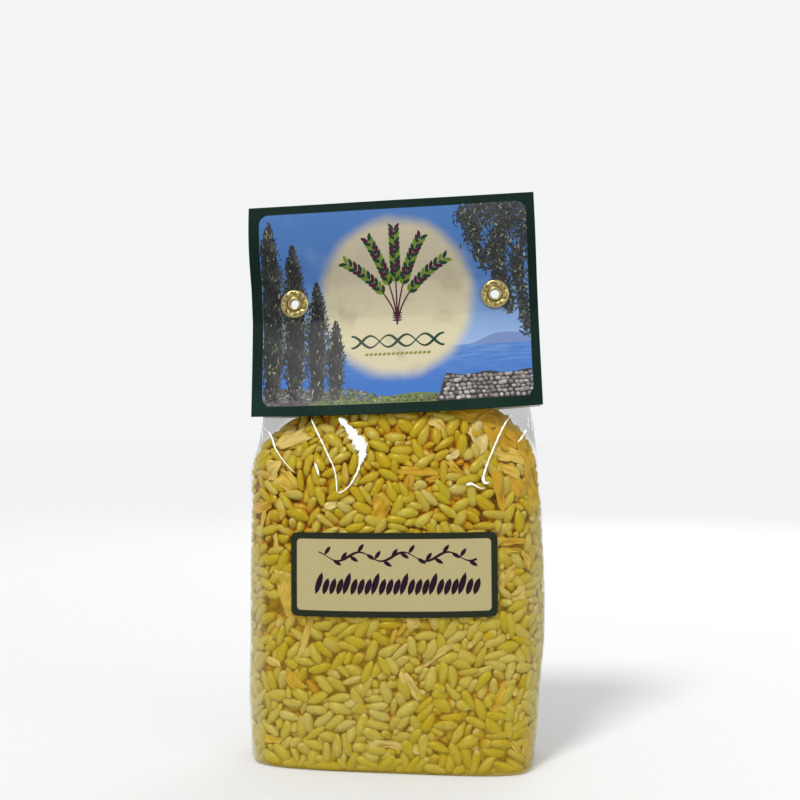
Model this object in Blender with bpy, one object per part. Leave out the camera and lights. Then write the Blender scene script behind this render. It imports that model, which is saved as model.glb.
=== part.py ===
"""A sealed clear bag of dry saffron rice mix that stands on its flat base.

A card header is folded over the flattened top of the bag. Two brass eyelets
go through the card and the bag, and a label sits on the front. Metres, +Z up,
the front faces -Y, and the origin is under the middle of the bag, on the floor.
"""

import math

import bmesh
import bpy
from mathutils import Matrix, Vector

MM = 0.001
GAP = 0.3 * MM  # air between pieces that touch

# The filled bag, as stations up its height in millimetres: the height, half of
# the width, half of the depth, the sideways lean of the middle, and how square
# the left and the right of the section are (2 is an ellipse, 4 nearly a box).
BAG_STATIONS = (
    (0.0, 48.6, 19.8, -1.0, 3.8, 4.6),
    (1.2, 49.6, 20.9, -1.0, 3.8, 4.5),
    (4.0, 50.2, 21.4, -1.0, 3.5, 4.2),
    (20.0, 51.8, 21.6, -1.1, 2.7, 3.0),
    (50.0, 52.9, 21.2, 0.0, 2.3, 2.3),
    (89.0, 52.1, 19.9, -0.4, 2.2, 2.2),
    (104.0, 51.5, 17.9, -1.2, 2.2, 2.2),
    (112.0, 49.8, 15.9, -0.9, 2.1, 2.1),
    (123.7, 47.8, 12.6, -0.4, 2.0, 2.0),
    (139.0, 46.2, 6.6, 0.4, 2.0, 2.0),
    (151.0, 45.4, 1.9, 0.6, 2.6, 2.6),
    (157.0, 45.0, 0.5, 0.6, 5.0, 5.0),
    (186.0, 45.0, 0.5, 0.6, 5.0, 5.0),
)
BAG_RINGS_AT = (
    [0.0, 0.5, 1.2, 2.2, 4.0]
    + [4.0 + 8.0 * k for k in range(1, 12)]
    + [96.0, 100.0, 104.0, 108.0, 112.0, 116.0, 120.0, 123.7]
    + [128.0, 133.0, 139.0, 145.0, 151.0, 154.0, 157.0, 172.0, 186.0]
)
BAG_SEGMENTS = 56
BASE_TWIST = math.radians(2.5)  # the base is turned a little against the rest
TWIST_ENDS_AT = 70.0 * MM

# Pleats that run up into the header: their depth and how many go round.
PLEAT_DEPTH = 0.5 * MM
PLEAT_WAVES = (11, 17)
PLEATS_FROM, PLEATS_FULL, PLEATS_END = 100.0 * MM, 116.0 * MM, 140.0 * MM

# The header and the flattened top hang a little crooked on the bag.
HEADER_TILT = math.radians(2.3)
HEADER_FOOT = Vector((0.6 * MM, 0.0, 123.7 * MM))
TILT_FROM, TILT_FULL = 98.0 * MM, 121.0 * MM

# The folded card, in its own frame: u across, v up from its lower edge.
CARD_WIDTH = 102.4 * MM
CARD_HEIGHT = 75.8 * MM
CARD_THICKNESS = 0.5 * MM
CARD_COLUMNS, CARD_ROWS, FOLD_STEPS = 22, 17, 4
CARD_PINCH = 0.8 * MM  # inner face to middle plane, where the eyelets clamp
FLARE_MIDDLE, FLARE_EDGE = 13.4 * MM, 8.8 * MM
FLARE_POWER = 1.1
TOP_BULGE = 2.0 * MM
CROWN = 1.0 * MM  # between the eyelets
LOWER_EDGE_SAG = 1.0 * MM

# The eyelets: turned rings with a dished flange, a raised collar and a washer.
EYELET_SPACING = 71.8 * MM
EYELET_HEIGHT = 40.1 * MM
EYELET_OFFSET = 0.3 * MM
BORE_RADIUS, BARREL_RADIUS = 1.6 * MM, 2.0 * MM
FLANGE_RADIUS, WASHER_RADIUS = 5.15 * MM, 4.7 * MM
COLLAR_RADIUS, COLLAR_HEIGHT = 2.25 * MM, 1.05 * MM
FLANGE_HEIGHT, RIM_HEIGHT = 0.75 * MM, 0.35 * MM
EYELET_SEGMENTS = 24
PINCHED_REACH = FLANGE_RADIUS + 0.9 * MM

# The label on the front.
LABEL_WIDTH, LABEL_HEIGHT = 71.1 * MM, 28.7 * MM
LABEL_CORNER = 2.0 * MM
LABEL_THICKNESS = 0.4 * MM
LABEL_CENTRE = (0.6 * MM, 67.6 * MM)
LABEL_TURN = math.radians(0.5)
LABEL_COLUMNS, LABEL_ROWS, CORNER_STEPS = 20, 5, 3

# ---------------------------------------------------------------- helpers


def smoothstep(low, high, value):
    """0 at low, 1 at high, with a soft start and end."""
    t = min(max((value - low) / (high - low), 0.0), 1.0)
    return t * t * (3.0 - 2.0 * t)


def along_stations(stations, height, column):
    """A smooth value between stations, which never swings past either of them."""
    heights = [s[0] * MM for s in stations]
    values = [s[column] for s in stations]
    last = len(heights) - 1
    if height >= heights[last]:
        return values[last]
    k = max(i for i in range(last) if heights[i] <= height + 1e-12)

    def slope(i):
        return (values[i + 1] - values[i]) / (heights[i + 1] - heights[i])

    def tangent(i):
        if i in (0, last):
            return slope(min(i, last - 1))
        before, after = slope(i - 1), slope(i)
        return 0.0 if before * after <= 0 else 2.0 * before * after / (before + after)

    span = heights[k + 1] - heights[k]
    t = (height - heights[k]) / span
    return (
        (2 * t**3 - 3 * t**2 + 1) * values[k]
        + (t**3 - 2 * t**2 + t) * span * tangent(k)
        + (3 * t**2 - 2 * t**3) * values[k + 1]
        + (t**3 - t**2) * span * tangent(k + 1)
    )


def bag_point(angle, height):
    """The bag's skin at an angle round it (0 at +X, 270 degrees at the front)."""
    half_width = along_stations(BAG_STATIONS, height, 1) * MM
    half_depth = along_stations(BAG_STATIONS, height, 2) * MM
    lean = along_stations(BAG_STATIONS, height, 3) * MM
    c, s = math.cos(angle), math.sin(angle)
    square = along_stations(BAG_STATIONS, height, 5 if c > 0 else 4)
    x = half_width * math.copysign(abs(c) ** (2.0 / square), c)
    y = half_depth * math.copysign(abs(s) ** (2.0 / square), s)
    rise = smoothstep(PLEATS_FROM, PLEATS_FULL, height)
    fall = smoothstep(PLEATS_FULL, PLEATS_END, height)
    wave = sum(math.cos(n * angle + n) for n in PLEAT_WAVES) / len(PLEAT_WAVES)
    pleat = PLEAT_DEPTH * rise * (1.0 - fall) * wave
    twist = BASE_TWIST * (1.0 - smoothstep(0.0, TWIST_ENDS_AT, height))
    flat = Matrix.Rotation(-twist, 3, "Z") @ Vector((x + pleat * c, y + pleat * s, 0.0))
    return hang(Vector((flat.x + lean, flat.y, height)))


def hang(point):
    """Turns the upper part of the bag with the header that hangs crooked on it."""
    share = smoothstep(TILT_FROM, TILT_FULL, point.z)
    turn = Matrix.Rotation(-HEADER_TILT * share, 3, "Y")
    return HEADER_FOOT + turn @ (point - HEADER_FOOT)


def in_header(u, y, v):
    """A point of the header's own frame, in the world."""
    turn = Matrix.Rotation(-HEADER_TILT, 3, "Y")
    return HEADER_FOOT + turn @ Vector((u, y, v))


def front_of_bag(x, height):
    """The y of the bag's front at a place across it, below the crooked top."""
    low, high = math.pi, 2.0 * math.pi
    for _ in range(40):
        middle = 0.5 * (low + high)
        if bag_point(middle, height).x < x:
            low = middle
        else:
            high = middle
    return bag_point(low, height).y


def material(name, colour, roughness, metallic=0.0, alpha=1.0):
    made = bpy.data.materials.new(name)
    made.use_nodes = True
    shader = made.node_tree.nodes["Principled BSDF"]
    shader.inputs["Base Color"].default_value = (*colour, 1.0)
    shader.inputs["Roughness"].default_value = roughness
    shader.inputs["Metallic"].default_value = metallic
    shader.inputs["Alpha"].default_value = alpha
    return made


def add_object(name, points, faces, finish, parent):
    """One named mesh object, shaded smooth with its real corners kept sharp."""
    mesh = bpy.data.meshes.new(name)
    mesh.from_pydata(points, [], faces)
    mesh.materials.append(finish)
    mesh.shade_smooth()
    mesh.set_sharp_from_angle(angle=math.radians(40))
    made = bpy.data.objects.new(name, mesh)
    bpy.context.collection.objects.link(made)
    made.parent = parent
    return made


def grid_faces(columns, rows, closed=False):
    """Quads of a grid whose points run column by column inside each row."""
    wide = columns if closed else columns - 1
    return [
        (
            r * columns + c,
            r * columns + (c + 1) % columns,
            (r + 1) * columns + (c + 1) % columns,
            (r + 1) * columns + c,
        )
        for r in range(rows - 1)
        for c in range(wide)
    ]


def eyelet_places():
    """The two eyelets' names and their places across the header."""
    for side, sign in (("left", -1.0), ("right", 1.0)):
        yield f"eyelet_{side}", EYELET_OFFSET + sign * 0.5 * EYELET_SPACING


def pierce(target, parent):
    """Cuts the eyelets' barrels, with their gap, through a card or a bag."""
    for name, u in eyelet_places():
        cutter = f"{target.name}_{name}_cutter"
        mesh = bpy.data.meshes.new(cutter)
        shape = bmesh.new()
        bmesh.ops.create_cone(
            shape,
            cap_ends=True,
            segments=EYELET_SEGMENTS,
            radius1=BARREL_RADIUS + GAP,
            radius2=BARREL_RADIUS + GAP,
            depth=12.0 * MM,
            matrix=Matrix.Translation(in_header(u, 0.0, EYELET_HEIGHT))
            @ Matrix.Rotation(math.radians(90), 4, "X"),
        )
        shape.to_mesh(mesh)
        shape.free()
        tool = bpy.data.objects.new(cutter, mesh)
        bpy.context.collection.objects.link(tool)
        tool.parent = parent
        tool.hide_render = True
        tool.display_type = "WIRE"
        cut = target.modifiers.new(cutter, "BOOLEAN")
        cut.operation = "DIFFERENCE"
        cut.object = tool


# ---------------------------------------------------------------- pieces


def build_bag(parent):
    """Film and contents as one solid: stacked rings, a flat base and a flat top."""
    heights = [z * MM for z in BAG_RINGS_AT]
    angles = [2.0 * math.pi * k / BAG_SEGMENTS for k in range(BAG_SEGMENTS)]
    points = [bag_point(a, z) for z in heights for a in angles]
    faces = grid_faces(BAG_SEGMENTS, len(heights), closed=True)
    top = (len(heights) - 1) * BAG_SEGMENTS
    faces.append(tuple(range(BAG_SEGMENTS))[::-1])
    faces.append(tuple(range(top, top + BAG_SEGMENTS)))
    finish = material("film_over_rice", (0.72, 0.58, 0.16), 0.25)
    pierce(add_object("bag", points, faces, finish, parent), parent)


def card_gap(u, v):
    """From the header's middle plane to the card's inner face at (u, v)."""
    low, high = EYELET_HEIGHT - PINCHED_REACH, EYELET_HEIGHT + PINCHED_REACH
    spread = 1.0 - (2.0 * u / CARD_WIDTH) ** 2
    flare = FLARE_EDGE + (FLARE_MIDDLE - FLARE_EDGE) * spread
    below = max(low - v, 0.0) / low
    above = max(v - high, 0.0) / (CARD_HEIGHT - high)
    between = 1.0 - smoothstep(0.0, 0.5 * EYELET_SPACING - PINCHED_REACH, abs(u))
    crown = CROWN * between * smoothstep(0.0, low, v) * (1.0 - above)
    closing = CARD_PINCH * (1.0 - above**4)
    return closing + flare * below**FLARE_POWER + crown + TOP_BULGE * math.sin(math.pi * above)


def card_path(u):
    """(y, v) points of the card's inner face: up the front, over, down the back."""
    sag = LOWER_EDGE_SAG * (1.0 - (2.0 * u / CARD_WIDTH) ** 2)
    front = []
    for k in range(CARD_ROWS):
        v = (CARD_HEIGHT - 2.0 * CARD_THICKNESS) * k / (CARD_ROWS - 1)
        front.append((-card_gap(u, v), v - sag * (1.0 - v / CARD_HEIGHT) ** 2))
    reach, top = -front[-1][0], front[-1][1]
    fold = [
        (-reach * math.cos(a), top + reach * math.sin(a))
        for a in (math.pi * k / FOLD_STEPS for k in range(1, FOLD_STEPS))
    ]
    return front + fold + [(-y, v) for y, v in reversed(front)]


def build_header_card(parent):
    """One sheet bent over the bag, thickened outwards."""
    path_length = len(card_path(0.0))
    across = [CARD_WIDTH * (k / (CARD_COLUMNS - 1) - 0.5) for k in range(CARD_COLUMNS)]
    paths = [card_path(u) for u in across]
    points = [
        in_header(u, *path[row])
        for row in range(path_length)
        for u, path in zip(across, paths)
    ]
    faces = grid_faces(CARD_COLUMNS, path_length)
    finish = material("printed_card", (0.10, 0.22, 0.42), 0.35)
    card = add_object("header_card", points, faces, finish, parent)
    wall = card.modifiers.new("card_thickness", "SOLIDIFY")
    wall.thickness = CARD_THICKNESS
    wall.offset = 1.0
    pierce(card, parent)


def eyelet_profile():
    """(radius, depth) once round the wall of an eyelet; negative is the front."""
    seat = CARD_PINCH + CARD_THICKNESS + GAP
    front = [
        (BORE_RADIUS, seat + 0.6 * COLLAR_HEIGHT),
        (BORE_RADIUS + 0.25 * MM, seat + 0.95 * COLLAR_HEIGHT),
        (COLLAR_RADIUS, seat + COLLAR_HEIGHT),
        (COLLAR_RADIUS + 0.4 * MM, seat + 0.6 * COLLAR_HEIGHT),
        (COLLAR_RADIUS + 0.9 * MM, seat + 0.55 * FLANGE_HEIGHT),
        (0.5 * (COLLAR_RADIUS + 0.9 * MM + FLANGE_RADIUS), seat + FLANGE_HEIGHT),
        (FLANGE_RADIUS - 0.35 * MM, seat + FLANGE_HEIGHT - 0.15 * MM),
        (FLANGE_RADIUS, seat + RIM_HEIGHT),
        (FLANGE_RADIUS - 0.1 * MM, seat),
        (BARREL_RADIUS, seat),
    ]
    back = [
        (BARREL_RADIUS, seat),
        (WASHER_RADIUS, seat),
        (WASHER_RADIUS, seat + RIM_HEIGHT),
        (COLLAR_RADIUS + 0.5 * MM, seat + RIM_HEIGHT),
        (COLLAR_RADIUS, seat + FLANGE_HEIGHT),
        (BORE_RADIUS, seat + 0.5 * FLANGE_HEIGHT),
    ]
    return [(r, -y) for r, y in front] + back


def build_eyelets(parent):
    """Two turned rings with their bores open."""
    brass = material("brass", (0.62, 0.47, 0.20), 0.3, metallic=1.0)
    profile = eyelet_profile()
    angles = [2.0 * math.pi * k / EYELET_SEGMENTS for k in range(EYELET_SEGMENTS)]
    for name, place in eyelet_places():
        points = [
            in_header(place + r * math.cos(a), y, EYELET_HEIGHT + r * math.sin(a))
            for r, y in profile + profile[:1]
            for a in angles
        ]
        faces = grid_faces(EYELET_SEGMENTS, len(profile) + 1, closed=True)
        eyelet = add_object(name, points, faces, brass, parent)
        shape = bmesh.new()
        shape.from_mesh(eyelet.data)
        bmesh.ops.remove_doubles(shape, verts=shape.verts, dist=0.001 * MM)
        bmesh.ops.recalc_face_normals(shape, faces=shape.faces)
        shape.to_mesh(eyelet.data)
        shape.free()


def label_rows():
    """(height, half width) of each row of a rectangle with round corners."""
    half, corner = 0.5 * LABEL_HEIGHT, LABEL_CORNER
    angles = [0.5 * math.pi * k / CORNER_STEPS for k in range(CORNER_STEPS + 1)]
    top = [
        (half - corner + corner * math.cos(a), 0.5 * LABEL_WIDTH - corner + corner * math.sin(a))
        for a in angles
    ]
    straight = [
        ((half - corner) * (1.0 - 2.0 * k / LABEL_ROWS), 0.5 * LABEL_WIDTH)
        for k in range(1, LABEL_ROWS)
    ]
    return top + straight + [(-v, w) for v, w in reversed(top)]


def build_label(parent):
    """A thin sheet that follows the bag's front."""
    turn = Matrix.Rotation(LABEL_TURN, 2)
    rows = label_rows()
    points = []
    for v, half_width in rows:
        for k in range(LABEL_COLUMNS):
            u = half_width * (2.0 * k / (LABEL_COLUMNS - 1) - 1.0)
            x, z = turn @ Vector((u, v)) + Vector(LABEL_CENTRE)
            points.append((x, front_of_bag(x, z) - GAP, z))
    finish = material("printed_label", (0.52, 0.43, 0.22), 0.45)
    label = add_object("label", points, grid_faces(LABEL_COLUMNS, len(rows)), finish, parent)
    label.data.flip_normals()
    wall = label.modifiers.new("label_thickness", "SOLIDIFY")
    wall.thickness = LABEL_THICKNESS
    wall.offset = 1.0


def main():
    for old in list(bpy.data.objects):
        bpy.data.objects.remove(old, do_unlink=True)
    pack = bpy.data.objects.new("pack", None)
    bpy.context.collection.objects.link(pack)
    build_bag(pack)
    build_header_card(pack)
    build_eyelets(pack)
    build_label(pack)


main()
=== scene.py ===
"""The looks of a sealed clear bag of dry saffron rice mix with a folded card header.

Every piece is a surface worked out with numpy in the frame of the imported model:
metres, +Z up, the front faces -Y, and the origin is on the floor under the bag.
"""

from functools import partial

import bmesh
import bpy
import numpy as np
from bpy.props import FloatProperty, FloatVectorProperty, IntProperty, PointerProperty
from bpy.types import Operator, Panel, PropertyGroup
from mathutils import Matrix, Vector


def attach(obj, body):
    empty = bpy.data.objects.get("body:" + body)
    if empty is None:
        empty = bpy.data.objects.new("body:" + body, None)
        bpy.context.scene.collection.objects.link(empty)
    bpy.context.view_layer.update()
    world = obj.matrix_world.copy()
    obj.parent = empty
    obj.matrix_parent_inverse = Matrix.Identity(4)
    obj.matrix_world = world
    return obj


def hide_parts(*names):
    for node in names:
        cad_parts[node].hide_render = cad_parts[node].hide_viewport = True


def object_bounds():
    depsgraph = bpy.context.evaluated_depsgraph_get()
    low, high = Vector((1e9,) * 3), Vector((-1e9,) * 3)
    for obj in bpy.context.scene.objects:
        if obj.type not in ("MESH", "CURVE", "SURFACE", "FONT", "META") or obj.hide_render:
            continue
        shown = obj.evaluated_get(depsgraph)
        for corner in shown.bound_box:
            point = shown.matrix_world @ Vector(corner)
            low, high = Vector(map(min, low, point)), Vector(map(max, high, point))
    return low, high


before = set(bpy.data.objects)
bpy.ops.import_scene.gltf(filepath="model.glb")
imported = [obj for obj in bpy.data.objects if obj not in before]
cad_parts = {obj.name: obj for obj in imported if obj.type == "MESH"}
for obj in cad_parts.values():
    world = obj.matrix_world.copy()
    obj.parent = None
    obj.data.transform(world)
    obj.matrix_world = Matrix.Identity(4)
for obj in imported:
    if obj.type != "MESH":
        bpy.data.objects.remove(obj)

bl_info = {
    "name": "Saffron rice bag",
    "version": (1, 0, 0),
    "blender": (4, 5, 0),
    "location": "View3D > Sidebar > Rice bag",
    "description": "Builds a clear bag of saffron rice mix around its packed frame",
    "category": "Object",
}

MM = 0.001
CAD_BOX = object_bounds()
CONTENTS_SEED, FILM_SEED, HAZE_SEED, PRINT_SEED = 11, 23, 31, 5

# ------------------------------------------------------- the shape of the bag

# The same stations as the frame's bag, in millimetres: height, half width, half
# depth, sideways lean, and how square the left and the right of the section are.
BAG_STATIONS = (
    (0.0, 48.6, 19.8, -1.0, 3.8, 4.6),
    (1.2, 49.6, 20.9, -1.0, 3.8, 4.5),
    (4.0, 50.2, 21.4, -1.0, 3.5, 4.2),
    (20.0, 51.8, 21.6, -1.1, 2.7, 3.0),
    (50.0, 52.9, 21.2, 0.0, 2.3, 2.3),
    (89.0, 52.1, 19.9, -0.4, 2.2, 2.2),
    (104.0, 51.5, 17.9, -1.2, 2.2, 2.2),
    (112.0, 49.8, 15.9, -0.9, 2.1, 2.1),
    (123.7, 47.8, 12.6, -0.4, 2.0, 2.0),
    (139.0, 46.2, 6.6, 0.4, 2.0, 2.0),
    (151.0, 45.4, 1.9, 0.6, 2.6, 2.6),
    (157.0, 45.0, 0.5, 0.6, 5.0, 5.0),
    (186.0, 45.0, 0.5, 0.6, 5.0, 5.0),
)
# What fills it: as the bag, with rounder corners, and a heaped top of its own.
HEAP_STATIONS = (
    (0.0, 48.2, 19.5, -1.2, 3.4, 3.2),
    (1.2, 49.2, 20.7, -1.2, 3.4, 3.2),
    (4.0, 49.9, 21.2, -1.1, 3.2, 3.1),
    (20.0, 51.6, 21.4, -1.1, 2.5, 2.7),
    (50.0, 52.7, 21.0, 0.0, 2.3, 2.3),
    (89.0, 51.9, 19.7, -0.4, 2.2, 2.2),
    (104.0, 51.1, 17.7, -1.2, 2.2, 2.2),
    (109.0, 49.7, 16.4, -1.3, 2.1, 2.1),
    (114.0, 47.4, 15.2, -1.3, 2.1, 2.1),
    (119.0, 42.5, 13.7, -0.6, 2.1, 2.1),
    (124.0, 35.0, 11.9, 0.2, 2.1, 2.1),
    (129.0, 25.0, 8.8, 0.4, 2.0, 2.0),
    (133.0, 11.0, 4.5, 0.5, 2.0, 2.0),
    (134.0, 2.0, 1.0, 0.5, 2.0, 2.0),
)
BASE_TWIST = np.radians(2.5)
TWIST_ENDS_AT = 70.0 * MM
HEADER_TILT = np.radians(2.3)
HEADER_FOOT = np.array((0.6, 0.0, 123.7)) * MM
TILT_FROM, TILT_FULL = 98.0 * MM, 121.0 * MM

# The folded card, in the header's own frame.
CARD_WIDTH, CARD_HEIGHT, CARD_THICKNESS = 102.4 * MM, 75.8 * MM, 0.5 * MM
CARD_PINCH = 0.8 * MM
FLARE_MIDDLE, FLARE_EDGE, FLARE_POWER = 13.4 * MM, 8.8 * MM, 1.1
TOP_BULGE, CROWN, LOWER_EDGE_SAG = 2.0 * MM, 1.0 * MM, 1.0 * MM
EYELET_SPACING, EYELET_HEIGHT, EYELET_OFFSET = 71.8 * MM, 40.1 * MM, 0.3 * MM
PINCHED_REACH, FILM_HOLE, CARD_HOLE = 6.05 * MM, 2.6 * MM, 2.7 * MM

LABEL_SIZE = np.array((71.1, 28.7)) * MM
LABEL_CENTRE = np.array((0.6, 67.6)) * MM
LABEL_TURN = np.radians(0.5)
OFF_THE_BAG = 0.3 * MM


def smoothstep(low, high, value):
    """0 at low, 1 at high, with a soft start and end, over a whole array."""
    t = np.clip((value - low) / (high - low), 0.0, 1.0)
    return t * t * (3.0 - 2.0 * t)


def along(stations, column, height):
    """A smooth curve through one column of the stations that never overshoots one."""
    table = np.array(stations, float)
    at, value = table[:, 0] * MM, table[:, column]
    height = np.clip(height, at[0], at[-1])
    k = np.clip(np.searchsorted(at, height, side="right") - 1, 0, len(at) - 2)
    slope = np.diff(value) / np.diff(at)
    product = slope[:-1] * slope[1:]
    bends = product > 0
    between = np.where(bends, slope[:-1] + slope[1:], 1.0)
    tangent = np.concatenate(
        (slope[:1], np.where(bends, 2.0 * product / between, 0.0), slope[-1:])
    )
    span = at[k + 1] - at[k]
    t = (height - at[k]) / span
    return (
        (2 * t**3 - 3 * t**2 + 1) * value[k]
        + (t**3 - 2 * t**2 + t) * span * tangent[k]
        + (3 * t**2 - 2 * t**3) * value[k + 1]
        + (t**3 - t**2) * span * tangent[k + 1]
    )


def hang(points):
    """Turns points above the shoulder with the header that hangs crooked on the bag."""
    share = smoothstep(TILT_FROM, TILT_FULL, points[..., 2])
    c, s = np.cos(HEADER_TILT * share), np.sin(HEADER_TILT * share)
    x, y, z = np.moveaxis(points - HEADER_FOOT, -1, 0)
    return HEADER_FOOT + np.stack((c * x - s * z, y, s * x + c * z), -1)


def settle(points, stations=BAG_STATIONS):
    """From the straight bag to the real one: its twisted base, its lean, its tilt."""
    x, y, z = np.moveaxis(points, -1, 0)
    twist = BASE_TWIST * (1.0 - smoothstep(0.0, TWIST_ENDS_AT, z))
    c, s = np.cos(twist), np.sin(twist)
    lean = along(stations, 3, z) * MM
    return hang(np.stack((c * x + s * y + lean, c * y - s * x, z), -1))


def section(angle, height, stations=BAG_STATIONS):
    """The straight bag: x and y are powers of cosine and sine, scaled to the station."""
    c, s = np.cos(angle), np.sin(angle)
    square = np.where(c > 0, along(stations, 5, height), along(stations, 4, height))
    x = along(stations, 1, height) * MM * np.sign(c) * np.abs(c) ** (2.0 / square)
    y = along(stations, 2, height) * MM * np.sign(s) * np.abs(s) ** (2.0 / square)
    return np.stack((x, y, height + 0.0 * angle), -1)


def even_angles(count, height=50.0 * MM):
    """Angles that stand evenly along the section's outline, from +X round by +Y."""
    angle = np.linspace(0.0, 2.0 * np.pi, 2881)
    outline = section(angle, height)
    step = np.linalg.norm(np.diff(outline, axis=0), axis=1)
    run = np.concatenate(((0.0,), np.cumsum(step)))
    return np.interp(np.linspace(0.0, run[-1], count, endpoint=False), run, angle)


def wall_table():
    height = np.linspace(0.0, HEAP_STATIONS[-1][0] * MM, 534)
    half = [along(HEAP_STATIONS, k, height) * MM for k in (1, 2)]
    square = [along(HEAP_STATIONS, k, height) for k in (4, 5)]
    return height, half, square, [np.gradient(h, height) for h in half]


WALL = wall_table()


def wall(points):
    """Depth under the heap's side (positive inside) and the outward unit normal.

    The section is the curve where (|x|/W)^n + (|y|/D)^n = 1. F, its nth root, is 1
    on the wall, and the depth is (1 - F) over the length of F's gradient.
    """
    at, half, square, growth = WALL
    z = np.clip(points[..., 2], at[0], at[-1])
    wide, deep = (np.interp(z, at, h) for h in half)
    wider, deeper = (np.interp(z, at, g) for g in growth)
    n = np.where(points[..., 0] > 0, np.interp(z, at, square[1]), np.interp(z, at, square[0]))
    ax = np.abs(points[..., 0]) / wide + 1e-6
    ay = np.abs(points[..., 1]) / deep + 1e-6
    px, py = ax**n, ay**n
    f = (px + py) ** (1.0 / n)
    scale = f ** (1.0 - n)
    slope = (
        scale * px / ax / wide * np.sign(points[..., 0]),
        scale * py / ay / deep * np.sign(points[..., 1]),
        -scale * (px * wider / wide + py * deeper / deep),
    )
    slope = np.stack(slope, -1)
    steep = np.linalg.norm(slope, axis=-1) + 1e-12
    return (1.0 - f) / steep, slope / steep[..., None]


def at_depth(points, depth):
    """Moves points along the wall's normal until they lie at a depth under it."""
    for _ in range(3):
        here, normal = wall(points)
        points = points + normal * (here - depth)[..., None]
    return points


# ---------------------------------------------------------------- mesh tools


def grid_quads(rows, columns, closed=False):
    """Corner numbers of a grid's quads: each cell joins a row to the next one."""
    wide = columns if closed else columns - 1
    r, c = np.meshgrid(np.arange(rows - 1), np.arange(wide), indexing="ij")
    n = (c + 1) % columns
    quads = (r * columns + c, r * columns + n, (r + 1) * columns + n, (r + 1) * columns + c)
    return np.stack(quads, -1).reshape(-1, 4)


def repeated(faces, count, points):
    """The faces of many like shapes in a row, from those of one with so many points."""
    step = points * np.arange(count)[:, None, None]
    return (faces[None] + step).reshape(-1, faces.shape[1])


def cut_corners(path, times):
    """Rounds a path's bends: each round puts two points on every stretch of it."""
    for _ in range(times):
        near, far = 0.75 * path[:-1] + 0.25 * path[1:], 0.25 * path[:-1] + 0.75 * path[1:]
        middle = np.stack((near, far), 1).reshape(-1, path.shape[1])
        path = np.concatenate((path[:1], middle, path[-1:]))
    return path


def opaque(tints):
    """Colours with an alpha of 1, as a point attribute holds them."""
    return np.concatenate((tints, np.ones((len(tints), 1))), 1)


def grid_normals(grid, closed=False):
    """Unit normals of a grid of points: across its columns times along its rows."""
    if closed:
        across = np.roll(grid, -1, 1) - np.roll(grid, 1, 1)
    else:
        across = np.gradient(grid, axis=1)
    normal = np.cross(across, np.gradient(grid, axis=0))
    return normal / (np.linalg.norm(normal, axis=-1, keepdims=True) + 1e-15)


def thick_sheet(outer, inner, keep=None):
    """A closed sheet: an outer grid, the inner grid turned round, and walls between.

    keep says which cells stay. Each edge that only one kept cell has gets a wall.
    Returns points, quads, and 0, 1 or 2 for the outer face, the inner and the edges.
    """
    rows, columns = outer.shape[:2]
    front = grid_quads(rows, columns)
    if keep is not None:
        front = front[keep.reshape(-1)]
    count = rows * columns
    edges = np.concatenate([front[:, (k, (k + 1) % 4)] for k in range(4)])
    key = edges.min(1) * count + edges.max(1)
    _, first, times = np.unique(key, return_index=True, return_counts=True)
    a, b = edges[first[times == 1]].T
    walls = np.stack((b, a, a + count, b + count), -1)
    points = np.concatenate((outer.reshape(-1, 3), inner.reshape(-1, 3)))
    quads = np.concatenate((front, front[:, ::-1] + count, walls))
    part = np.repeat((0, 1, 2), (len(front), len(front), len(walls)))
    return points, quads, part


def compact(points, *faces):
    """Tells which points some face uses, and gives the faces in those points' numbers."""
    used = np.zeros(len(points), bool)
    for f in faces:
        used[f.reshape(-1)] = True
    number = np.cumsum(used) - 1
    return used, [number[f] for f in faces]


def make_piece(name, points, faces, materials, part=None, values=None, sharp=False):
    """One mesh object that rides on the pack, built from arrays of quads or triangles.

    part numbers the material of each face. values are named arrays, one number or
    three per point, or four for a colour, that the material reads.
    """
    points = np.asarray(points, np.float32).reshape(-1, 3)
    used, faces = compact(points, *faces)
    mesh = bpy.data.meshes.new(name)
    mesh.vertices.add(int(used.sum()))
    mesh.vertices.foreach_set("co", points[used].reshape(-1))
    sizes = np.concatenate([np.full(len(f), f.shape[1]) for f in faces])
    mesh.loops.add(int(sizes.sum()))
    corners = np.concatenate([f.reshape(-1) for f in faces])
    mesh.loops.foreach_set("vertex_index", corners.astype(np.int32))
    mesh.polygons.add(len(sizes))
    mesh.polygons.foreach_set("loop_start", (np.cumsum(sizes) - sizes).astype(np.int32))
    mesh.update(calc_edges=True)
    for finish in materials:
        mesh.materials.append(finish)
    if part is not None:
        mesh.polygons.foreach_set("material_index", np.asarray(part, np.int32))
    for key, value in (values or {}).items():
        value = np.asarray(value, np.float32).reshape(len(used), -1)[used]
        kind, field = {
            1: ("FLOAT", "value"),
            3: ("FLOAT_VECTOR", "vector"),
            4: ("FLOAT_COLOR", "color"),
        }[value.shape[1]]
        data = mesh.attributes.new(key, kind, "POINT").data
        data.foreach_set(field, value.reshape(-1))
    mesh.shade_smooth()
    if sharp:
        mesh.set_sharp_from_angle(angle=np.radians(35))
    if mesh.validate():
        raise RuntimeError(f"{name} has faces that are not valid")
    made = bpy.data.objects.new(name, mesh)
    bpy.context.scene.collection.objects.link(made)
    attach(made, "root")
    return made


# ------------------------------------------------------------ material tools


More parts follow.
